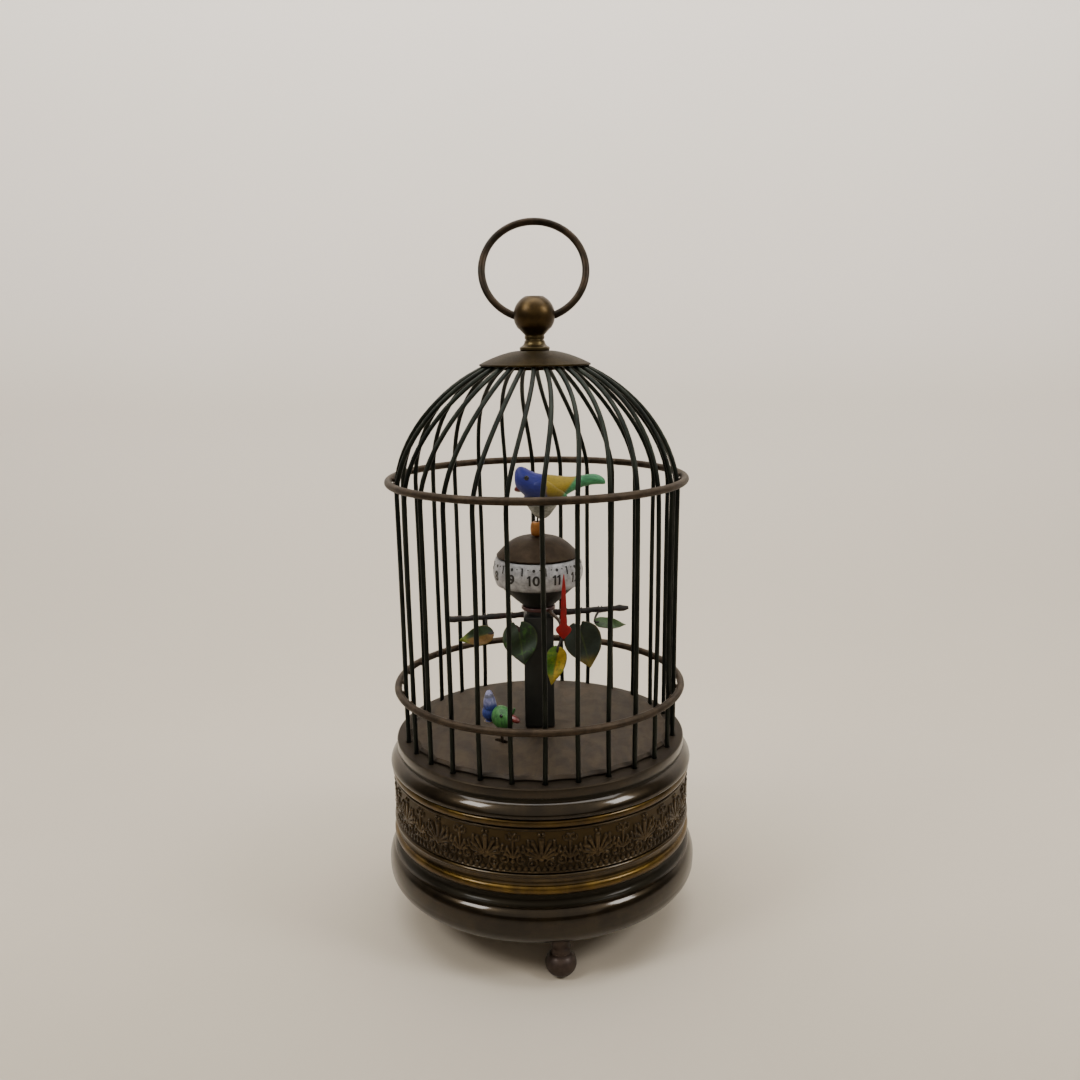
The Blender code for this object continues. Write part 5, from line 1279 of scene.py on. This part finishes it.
leaf_finishes = {
    "a": leaf_paint("leaf_paint_a", (0.006, 0.026, 0.0), (0.14, 0.065, 0.0),
                    (0.13, 0.17, 0.0), (0.012, 0.055, 0.0), (0.08, 0.06, 0.004)),
    "b": leaf_paint("leaf_paint_b", (0.004, 0.017, 0.001), (0.004, 0.020, 0.002),
                    (0.003, 0.010, 0.001), (0.020, 0.090, 0.0), (0.018, 0.032, 0.003)),
    "c": leaf_paint("leaf_paint_c", (0.045, 0.13, 0.0), (0.38, 0.25, 0.0),
                    (0.30, 0.21, 0.002), (0.13, 0.20, 0.002), (0.06, 0.06, 0.004)),
    "d": leaf_paint("leaf_paint_d", (0.004, 0.010, 0.004), (0.005, 0.013, 0.005),
                    (0.13, 0.09, 0.001), (0.006, 0.020, 0.005), (0.03, 0.028, 0.005)),
    "e": leaf_paint("leaf_paint_e", (0.014, 0.045, 0.0), (0.022, 0.070, 0.0),
                    (0.03, 0.06, 0.001), (0.022, 0.060, 0.002), (0.026, 0.028, 0.004)),
}

# %% [markdown]
# ## Leaves on their stems
#
# A leaf starts as a grid with its map. Its rows are narrowed to the leaf's outline, cupped and
# curled, and a modifier thickens the sheet. The stem runs from the twig to a little way under the
# leaf, as it was soldered, and is wrapped round the twig at its root.

# %% Leaves and stems


def leaf(length, half_width, cup, curl, heart):
    """Leaf along X, u across and v along it, as a sheet without thickness."""
    shape = bmesh.new()
    shape.loops.layers.uv.new("leaf")
    bmesh.ops.create_grid(shape, x_segments=16, y_segments=10, size=1.0, calc_uvs=True)
    layer = shape.loops.layers.uv["leaf"]
    for face in shape.faces:
        for loop in face.loops:
            loop[layer].uv = ((loop.vert.co.y + 1) / 2, (loop.vert.co.x + 1) / 2)
    for vert in shape.verts:
        share, side = (vert.co.x + 1) / 2, vert.co.y
        width = half_width * np.interp(share, [0, 0.06, 0.16, 0.3, 0.45, 0.62, 0.8, 0.93, 1],
                                       [0.2, 0.62, 0.9, 1, 0.97, 0.8, 0.46, 0.17, 0.02])
        back = heart * half_width * side * side * (1 - share) ** 3
        vert.co = (share * length - back, side * width,
                   cup * side * side * width - curl * math.sin(share * 2.6)
                   + 0.10 * half_width * math.sin(share * 9 + 2 * side))
    return shape


# root on the twig, bend of the stem, leaf's base and tip, half width, facing, how heart-shaped
leaf_marks = {
    "a": (-17.7, (-17.2, 3.0, -3.2), (-15.2, 0.5, -4.7), (-26.4, 0.0, -7.0), 3.3, (0, -1, 0.4),
          0.1),
    "b": (-9.5, (-9.0, 0.0, -1.4), (-6.6, -5.8, -1.2), (-4.8, -7.6, -13.2), 5.8, (0, -1, 0), 0.42),
    "c": (9.0, (8.9, -1.0, -2.4), (6.3, -6.6, -7.6), (4.0, -7.4, -20.4), 3.6, (0, -1, 0), 0.1),
    "d": (13.9, (13.6, 1.5, -0.8), (13.3, -2.5, -2.0), (17.0, -4.0, -15.8), 6.3, (0, -1, 0), 0.3),
    "e": (20.7, (19.2, 3.9, -0.4), (18.7, 1.3, -1.6), (29.0, 0.5, -2.4), 2.4, (0, -0.8, 1), 0.1),
}
lift = Vector((0, 0, twig_middle))
wrap_radius, sheet_thickness = 1.15, 0.3
stems = []
for letter, (root, bend, base, tip_end, half_width, facing, heart) in leaf_marks.items():
    bend, base, tip_end = [Vector(spot) + lift for spot in (bend, base, tip_end)]
    start = Vector((root, twig_depth, twig_height(root)))
    inside = base.lerp(tip_end, 0.14)
    stems.append(wire(eased([start, bend, base, inside], 7), 0.8, 2))
    around = []
    for third in np.arange(0, 4.01, 0.25):
        angle = third * math.tau / 3
        around.append(start + Vector((0.35 * third - 0.7, wrap_radius * math.cos(angle),
                                      wrap_radius * math.sin(angle))))
    stems.append(wire(around, 0.34, 1))
    blade = pointing(leaf((tip_end - base).length, half_width, 0.16, 0.5, heart), base, tip_end,
                     facing)
    item = complete(f"leaf_{letter}", blade, leaf_finishes[letter], "root", "leaf_green",
                    "leafy_branch", sharp=180)
    sheet = item.modifiers.new("sheet", "SOLIDIFY")
    sheet.thickness = sheet_thickness * MM
    sheet.offset = 0
    rounder = item.modifiers.new("rounder", "SUBSURF")
    rounder.levels = rounder.render_levels = 1
complete("leaf_stems", together(*stems), twig_finish, "root", "leaf_green", "leafy_branch",
         sharp=70)

# %% [markdown]
# ## The two birds
#
# Both birds are small carved and painted figures. A bird could be sculpted, but a skin over rings
# is plainer: circles are made where the body passes, sized to its section, and each is bridged to
# the next. Smaller forms, such as eyes, are egg-shaped lumps.

# %% Skin over rings


def skin(stations, around=16):
    """Closed skin along X; stations are (place, height, half width, half height)."""
    shape = bmesh.new()
    before = None
    for place, height, wide, tall in stations:
        ring = bmesh.ops.create_circle(shape, cap_ends=False, segments=around, radius=1.0)["verts"]
        bmesh.ops.rotate(shape, verts=ring, cent=(0, 0, 0),
                         matrix=Matrix.Rotation(math.radians(90), 3, "Y"))
        bmesh.ops.scale(shape, verts=ring, vec=(1, wide, tall))
        bmesh.ops.translate(shape, verts=ring, vec=(place, 0, height))
        edges = list({edge for vert in ring for edge in vert.link_edges})
        if before:
            bmesh.ops.bridge_loops(shape, edges=before + edges)
        before = edges
    bmesh.ops.holes_fill(shape, edges=[edge for edge in shape.edges if edge.is_boundary], sides=0)
    bmesh.ops.recalc_face_normals(shape, faces=shape.faces)
    return shape


def lump(centre, size, pitch=0.0):
    """Egg-shaped lump with half sizes along X, Y and Z."""
    shape = bmesh.new()
    bmesh.ops.create_uvsphere(shape, u_segments=20, v_segments=12, radius=1.0)
    return move(turn(stretch(shape, *size), pitch, "Y"), centre)


round_skin = {"sharp": 180, "smooth": 1}
print("smooth skins:", round_skin)

# %% [markdown]
# ## Brushed bird paint
#
# The paint lies thick and streaky along the feathers. One function gives the streaks and the bump,
# and takes another that says which colour is where. The borders between the colours are moved a
# little by the brush pattern, as a hand would leave them.

# %% Paint of the birds


def bird_paint(name, paints, grain_along=(0.3, 1, 1)):
    """Painted bird; paints takes the finish and its brush pattern and gives the colour."""
    finish = Finish(name, coat_weight=0.08, coat_roughness=0.4)
    brush = finish.noise(0.9, 5, 0.65, 0.4, grain_along)
    fine = finish.noise(0.35, 4, 0.65, 0.2, grain_along)
    colour = paints(finish, brush)
    colour = finish.mix(fine.rise(0.45, 0.8) * 0.45, colour, (0.005, 0.007, 0.005))
    colour = finish.mix(brush.rise(0.62, 0.8) * 0.12, colour, (0.26, 0.26, 0.20))
    finish.show(base_color=colour, roughness=0.42 + 0.3 * brush)
    return finish.emboss(brush + 0.6 * fine, 0.16)


def top_colours(finish, brush):
    """Blue, yellow and green from head to tail, pale below; painted top light on blue and yellow.
    """
    x = finish.x + 1.4 * (brush - 0.5)
    z = finish.z + 1.4 * (brush - 0.5)
    # painted light: the blue and the yellow run from a dark tone low down to a light one at the top
    blue = finish.mix(z.rise(142, 149.5), (0.003, 0.008, 0.10), (0.002, 0.008, 0.20))
    yellow = finish.mix(z.rise(141, 147), (0.085, 0.056, 0.0), (0.30, 0.21, 0.0))
    green = finish.mix(brush.rise(0.3, 0.7), (0.014, 0.13, 0.050), (0.05, 0.26, 0.10))
    colour = finish.mix((x + 0.1 * (z - 145)).rise(2.2, 3.6), blue, yellow)
    colour = finish.mix((x - 0.75 * (z - 145)).rise(9.6, 11.0), colour, green)
    pale = finish.mix(brush.rise(0.35, 0.65), (0.12, 0.12, 0.10), (0.28, 0.28, 0.24))
    return finish.mix(1 - z.rise(138.6, 140.4), colour, pale)


top_finish = bird_paint("top_bird_paint", top_colours)
beak_finish = gloss_paint("beak_red", (0.05, 0.003, 0.003), (0.17, 0.010, 0.007),
                          rough=0.32, grain_size=1.2, coat=0.4, depth=0.02)
eye_finish = gloss_paint("eye_black", (0.004, 0.004, 0.005), (0.012, 0.012, 0.014),
                         rough=0.1, grain_size=0.8, coat=0.6, depth=0.005)
leg_wire_finish = bronzed("leg_wire", (0.008, 0.006, 0.004), (0.05, 0.034, 0.018), metal=0.6)

# %% [markdown]
# ## Upper bird
#
# The upper bird has a blue head, a yellow back and a green tail, and a pale belly that narrows to
# the bead. It is fixed to the bead by a peg and turns with it, so all its pieces ride on the same
# body.

# %% Upper bird
bead_top = top("bird_rod")


def perched(name, shape, finish, **edges):
    """Finish a piece of the upper bird."""
    complete("top_bird_" + name, shape, finish, "perched_bird", "bird_blue", "top_bird", **edges)


body = skin([(-7.1, 147.9, 0.6, 0.8), (-7.0, 147.9, 1.6, 2.1), (-6.5, 147.7, 2.7, 3.3),
             (-5.5, 147.6, 3.6, 4.1), (-4.2, 146.9, 4.2, 4.7), (-2.6, 145.7, 4.5, 5.0),
             (-0.6, 144.6, 4.6, 4.9), (2.0, 144.2, 4.5, 4.9), (4.5, 144.1, 4.1, 4.8),
             (7.0, 144.4, 3.5, 4.1), (9.5, 145.1, 2.8, 3.1), (12.0, 145.8, 2.3, 2.3),
             (14.5, 146.5, 2.1, 1.95), (17.0, 147.1, 2.0, 1.9), (19.4, 147.2, 1.8, 1.75),
             (21.2, 146.7, 1.3, 1.3), (22.2, 146.1, 0.6, 0.7)])
perched("body", body, top_finish, **round_skin)
wings = []
for side in (-1, 1):
    wing = skin([(0, 0, 0.35, 0.8), (1.0, 0, 0.8, 2.1), (3.2, 0, 1.0, 2.9), (6.0, -0.1, 0.95, 2.6),
                 (8.6, -0.4, 0.75, 1.8), (10.6, -0.7, 0.45, 0.9), (11.8, -0.9, 0.15, 0.3)], 12)
    wings.append(move(turn(turn(wing, 13, "Y"), -7 * side), (-1.4, 3.95 * side, 145.6)))
perched("wings", together(*wings), top_finish, **round_skin)
belly = turned(from_level(bead_top, [(0, 2.1), (1.3, 2.15), (2.0, 2.6), (3.0, 3.9), (4.1, 5.6),
                                     (5.0, 7.4), (5.3, 9.0), (4.8, 11.0), (0, 12.0)]), 20)
perched("belly", move(stretch(belly, 1.1, 0.72, 1.0), (1.6, 0, 0)), top_finish, sharp=50)
legs = [wire([(foot, 0, bead_top), (1.3 * foot + 0.3, 0, bead_top + 3.0)], thick, 2)
        for foot, thick in ((-1.5, 0.5), (0.0, 0.6), (1.5, 0.5))]
peg = pin(0.8, bead_top - 2.1, bead_top + 0.3, sides=16)
perched("legs", together(peg, *legs), leg_wire_finish, sharp=60)
beak = skin([(-7.9, -0.4, 0.25, 0.3), (-7.5, -0.3, 0.9, 0.85), (-6.5, -0.1, 1.5, 1.3),
             (-5.0, 0.1, 2.3, 1.4)], 12)
perched("beak", move(beak, (0.6, 0, 144.5)), beak_finish, **round_skin)
eyes = together(*[lump((-3.2, 3.95 * side, 148.3), (0.8, 0.4, 0.8)) for side in (-1, 1)])
perched("eyes", eyes, eye_finish, sharp=180)

# %% [markdown]
# ## Bead and rod
#
# The copper bead is the top of a rod that runs down through the hour tube. In the base it carries
# two arms, one pushed by the pallet lever and one that works the lower bird. Bead and rod turn as
# one, so they are made as one piece.

# %% Bead, rod, crank and finger
rod_low, bead_low, crank_low = bottom("bird_rod"), crown_high + gap, 24.8
rod_radius, pin_radius, finger_length = 0.9, 0.6, 13.0
pallet_angle, peck_angle = 60.3, math.degrees(math.atan2(-15.2, -12.3))
rod_outline = [(0, rod_low), (0.6, rod_low), (rod_radius, rod_low + 0.3)]
rod_outline += from_level(crank_low, [(rod_radius, -2.9), (2.2, -2.9), (2.2, 1.2),
                                      (rod_radius, 1.2)])
rod_outline += from_level(bead_low, [(rod_radius, 0), (1.5, 0), (1.9, 0.15)])
rod_outline += bulge((1.95, bead_low + 0.2), (1.95, bead_top + 0.6), -0.3, False, 10)
rod_outline += from_level(bead_top, [(1.85, 0.8), (1.5, 0.9), (1.1, 0.9), (1.1, -2.4), (0, -2.4)])
parts = [turned(rod_outline, 32)]
for length, angle, high in ((4.5, pallet_angle, 28.2), (finger_length, peck_angle, 46.7)):
    centre, end = polar(length / 2, angle, crank_low + 0.5), polar(length, angle)
    parts.append(bar((length, 1.6, 1.0), centre, angle, 0.15))
    parts.append(pin(1.1, crank_low, crank_low + 1.0, end, 20))
    parts.append(pin(pin_radius, crank_low, high, end, 16))
complete("rod_and_bead", together(*parts), bead_finish, "perched_bird", "bead_copper", "bird_rod",
         sharp=35)

# %% [markdown]
# ## Lower bird
#
# The lower bird pecks at the floor. Its head is green with a red beak, and behind it are a blue
# body and an upright tail with a pale end. It is made with its beak along X, which keeps the
# numbers simple, and then turned to its place. It rocks on a pin under the deck, so its leg goes
# down through the slot.

# %% Lower bird
bird_x, bird_y = peck_place.x, peck_place.y
bird_heading = peck_angle + 90
forward = polar(1.0, bird_heading)


def low_place(finish):
    """How far a spot lies along the lower bird, beak positive."""
    return (finish.x - bird_x) * forward.x + (finish.y - bird_y) * forward.y


def low_colours(finish, brush):
    """Green in front, blue behind, a pale end of the tail."""
    along = low_place(finish) + 1.0 * (brush - 0.5)
    z = finish.z + 1.0 * (brush - 0.5)
    green = finish.mix(brush.rise(0.3, 0.7), (0.007, 0.065, 0.012), (0.05, 0.20, 0.04))
    blue = finish.mix(brush.rise(0.3, 0.7), (0.006, 0.014, 0.10), (0.016, 0.04, 0.22))
    lilac = finish.mix(brush.rise(0.4, 0.7), (0.09, 0.10, 0.22), (0.30, 0.29, 0.42))
    colour = finish.mix(along.rise(-2.9, -1.9), blue, green)
    colour = finish.mix(z.rise(75.4, 76.6) * (1 - along.rise(-3.2, -2.2)), colour, lilac)
    grey = z.band(78.2, 79.2, 0.3) * (1 - along.rise(-3.2, -2.2))
    colour = finish.mix(grey * 0.75, colour, (0.04, 0.04, 0.045))
    return finish.mix((1 - z.rise(69.6, 70.4)) * (1 - along.rise(-3.4, -2.6)), colour,
                      (0.26, 0.18, 0.004))


low_finish = bird_paint("floor_bird_paint", low_colours, (1, 1, 0.4))


def pecking(name, shape, finish, **edges):
    """Finish a piece of the lower bird, whose own frame has the beak along X."""
    placed = move(turn(shape, bird_heading), (bird_x, bird_y, 0))
    complete("floor_bird_" + name, placed, finish, "pecking_bird", "bird_green", "floor_bird",
             **edges)


head = skin([(-3.4, 72.6, 1.0, 1.2), (-2.8, 72.6, 2.1, 2.6), (-1.4, 72.6, 3.0, 3.7),
             (0.4, 72.5, 3.3, 4.0), (2.2, 72.2, 2.9, 3.6), (3.5, 72.0, 2.0, 2.5),
             (4.3, 71.9, 0.9, 1.1)], 18)
chest = lump((-5.1, 0, 73.0), (2.6, 2.5, 2.8))
tail = skin([(0, 0, 2.0, 2.0), (1.6, 0, 2.3, 2.25), (3.4, 0.1, 2.25, 2.1), (5.0, 0.2, 1.9, 1.6),
             (6.4, 0.2, 1.35, 1.0), (7.3, 0.2, 0.8, 0.5)], 14)
tail = move(turn(tail, -94, "Y"), (-4.7, 0, 73.2))
strip = lump((-5.3, 0, 69.9), (1.9, 1.5, 0.55))
pecking("body", together(head, chest, tail, strip), low_finish, **round_skin)
low_beak = skin([(3.4, 73.2, 1.1, 1.2), (4.8, 73.1, 1.2, 1.25), (6.2, 72.9, 1.1, 1.15),
                 (7.1, 72.7, 0.75, 0.8), (7.5, 72.6, 0.2, 0.2)], 12)
pecking("beak", low_beak, beak_finish, **round_skin)
wisp = wire(eased([(3.2, 0.2, 73.8), (4.6, 0.3, 75.0), (5.4, 0.2, 76.6)], 5), 1.3, 2,
            [1 - 0.06 * step for step in range(11)])
pecking("wisp", wisp, low_finish, sharp=80)
low_eyes = together(*[lump((2.2, 2.75 * side, 74.2), (0.6, 0.4, 0.6)) for side in (-1, 1)])
pecking("eyes", low_eyes, eye_finish, sharp=180)

# %% [markdown]
# ## What makes the lower bird peck
#
# Its leg is a wire that ends in two prongs, with the finger of the bird rod between them. When the
# finger swings to one side, it pushes a prong and the bird rocks on its hinge pin. All of that is
# round wire, so each part is a straight route of two points.

# %% Leg, hinge pin and prongs of the lower bird
leg_thickness = 1.0
prong_height, hinge_height = bottom("floor_bird") + leg_thickness / 2, 59.8
half = pin_radius + leg_thickness / 2 + 0.6
reach_in = peck_place.length - finger_length + 1.6
leg_routes = [[(0, 0, 72.0), (0, 0, prong_height)],
              [(-half - 0.2, 0, prong_height), (half + 0.2, 0, prong_height)],
              [(0, -3.4, hinge_height), (0, 3.4, hinge_height)]]
leg_routes += [[(half * side, 0, prong_height), (half * side, reach_in, prong_height)]
               for side in (-1, 1)]
pecking("leg", together(*[wire(route, leg_thickness) for route in leg_routes]), leg_wire_finish,
        sharp=60)

# %% [markdown]
# ## Key, knob and movement
#
# These sit underneath or inside, out of the photo's sight. The key is turned again with finer
# steps; the setting knob, wheels, plates and arbors keep the shapes of the measured model and get
# brass and steel finishes in their own material slots.

# %% Key
key_low, hub_top = bottom("winding_key"), cover_low - gap
lower_top, heavy_low, arbor_top = 21.6 + gap, 31.1 - gap, 42.4
key_outline = from_level(key_low, [(0, 0), (2.0, 0), (2.4, 0.15), (2.6, 0.5)])
key_outline += from_level(hub_top, [(2.6, -1.6), (2.35, -1.4), (2.35, -1.0), (2.6, -0.8),
                                    (2.6, -0.2), (2.4, 0), (1.5, 0)])
key_outline += [(1.5, lower_top), (2.7, lower_top), (2.7, heavy_low), (1.5, heavy_low),
                (1.5, arbor_top), (0, arbor_top)]
bows = []
for side in (-1, 1):
    bow = pin(1.0, -0.8, 0.8, sides=40)
    soften(bow, level_edges(bow), 0.12)
    stretch(bow, 4.5, 3.3, 1.0)
    bows.append(move(turn(bow, 90, "X"), (4.5 * side, 0, key_low + 1.7)))
key = move(together(turned(key_outline, 40), *bows), (key_place.x, key_place.y, 0))
complete("key", key, steel_finish, "key", "movement_steel", "winding_key", sharp=35)

# %% Finishes of the inner works
for node in ("lower_plate", "upper_plate", "mainspring_barrel", "hour_arbor", "setting_knob",
             "third_wheel", "escape_wheel", "pallet_lever", "balance_wheel"):
    carried = frame["nodes"][node]
    for holder in carried.material_slots:
        plain = holder.material.name if holder.material else ""
        holder.material = (steel_finish if "steel" in plain else brass_finish).material
    print(node, "keeps its shape:", len(carried.data.polygons), "faces")

# %% [markdown]
# ## Floor, backdrop and light
#
# The photograph shows the clock in front of plain pale paper. Two small soft boxes, one high on
# each side, make the long white lights on the round mouldings. A third light brightens the paper
# behind the clock, and a wide, faint and warm one in front lifts the shadows. The rest of the room
# is dim, which keeps the metals dark. The floor runs up into the wall by a wide curve, so no line
# shows behind the clock.

# %% Paper sweep


def paper():
    """Pale paper with painted light and shade: darker on the flat, most in front, light on the
    wall.
    """
    finish = Finish("pale_paper")
    cloud = finish.noise(160, 3, 0.5)
    grain = finish.noise(1.5, 3, 0.6)
    # painted shade: the flat paper darkens towards the front
    floor = finish.mix(finish.y.rise(-260, 150), (0.35, 0.30, 0.23), (0.50, 0.445, 0.36))
    # painted light: the paper turns much lighter where it rises into the wall
    colour = finish.mix(finish.z.rise(5, 230), floor, (0.84, 0.78, 0.71))
    colour = finish.mix(cloud * 0.25, colour, (0.64, 0.58, 0.50))
    finish.show(base_color=colour, roughness=0.85 + 0.1 * grain)
    return finish.emboss(grain, 0.02)


paper_front, bend_start, bend_radius, paper_height, paper_width = -900, 190, 150, 900, 4800
side_view = [(paper_front, 0), (bend_start, 0),
             *arc(bend_radius, bend_radius, (bend_start, bend_radius), -85, 0, 17),
             (bend_start + bend_radius, paper_height)]
sweep = bmesh.new()
marks = [sweep.verts.new((-paper_width / 2, y, z)) for y, z in side_view]
edges = [sweep.edges.new(pair) for pair in zip(marks, marks[1:])]
carried = bmesh.ops.extrude_edge_only(sweep, edges=edges)["geom"]
bmesh.ops.translate(sweep, vec=(paper_width, 0, 0),
                    verts=[item for item in carried if isinstance(item, bmesh.types.BMVert)])
bmesh.ops.recalc_face_normals(sweep, faces=sweep.faces)
stretch(sweep, MM, MM, MM)
backdrop = link("paper_sweep", as_mesh(sweep, "paper_sweep"))
backdrop.data.shade_smooth()
backdrop.data.materials.append(paper().material)
backdrop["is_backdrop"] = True
print("paper sweep:", len(backdrop.data.polygons), "faces")

# %% [markdown]
# ## Lamps
#
# A soft box is an area lamp. Its size sets how long the light on a round moulding is, so the two
# in front are only 25 cm wide. The faint one for the room is 3 m wide and shows as no light of its
# own.

# %% Soft boxes and a dim room


def soft_box(name, place, aim, wide, tall, watts, tint=(1, 1, 1)):
    """Area lamp of wide by tall metres, at a place in mm and aimed at another."""
    lamp = bpy.data.lights.new(name, "AREA")
    lamp.shape = "RECTANGLE"
    lamp.size, lamp.size_y = wide, tall
    lamp.energy = watts
    lamp.color = tint
    item = link(name, lamp)
    item.location = Vector(place) * MM
    item.rotation_euler = (Vector(aim) - Vector(place)).to_track_quat("-Z", "Y").to_euler()
    return item


near_white, warm = (1.0, 0.985, 0.96), (1.0, 0.87, 0.70)
soft_box("left_box", (-585, -365, 729), (0, 60, 90), 0.25, 0.25, 4.5, near_white)
soft_box("right_box", (690, -307, 640), (0, 60, 90), 0.25, 0.25, 4.5, near_white)
soft_box("wall_box", (0, 40, 760), (0, 330, 180), 0.9, 0.4, 7.0)
soft_box("front_fill", (0, -1300, 1250), (0, 0, 40), 3.0, 1.8, 13.0, warm)
room_brightness = 0.05

surroundings = bpy.data.worlds.new("pale_room")
surroundings.use_nodes = True
glow = surroundings.node_tree.nodes["Background"]
glow.inputs["Color"].default_value = (0.95, 0.94, 0.92, 1)
glow.inputs["Strength"].default_value = room_brightness
bpy.context.scene.world = surroundings

# %% [markdown]
# ## Camera
#
# The camera's place, lens and tilt were worked out from the ellipses of the round parts, which are
# flatter where the eye is level with them. It looks down a little, and it has the slight roll of
# the photograph.

# %% Camera
camera_place, focal_length = (0.83, -321.9, 193.2), 33.62
pitch_degrees, roll_radians = 78.44, -0.0138
eye = bpy.data.cameras.new("camera")
eye.sensor_width = 36
eye.lens = focal_length
eye.clip_start, eye.clip_end = 0.01, 20
camera = link("camera", eye)
camera.location = Vector(camera_place) * MM
pitch = Matrix.Rotation(math.radians(pitch_degrees), 3, "X")
roll = Matrix.Rotation(roll_radians, 3, "Z")
camera.rotation_euler = (pitch @ roll).to_euler()
bpy.context.scene.camera = camera
print("camera at", [round(value, 4) for value in camera.location])

# %% [markdown]
# ## Sizes
#
# The boxes of the measured model and of the dressed one are printed in millimetres. The dressed
# model has to stay inside the box of the measured one.

# %% Print both boxes
new_box = [list(corner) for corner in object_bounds()]
for label, box in (("measured", cad_box), ("dressed", new_box)):
    print(label, "box in mm:", [[round(value / MM, 2) for value in corner] for corner in box])
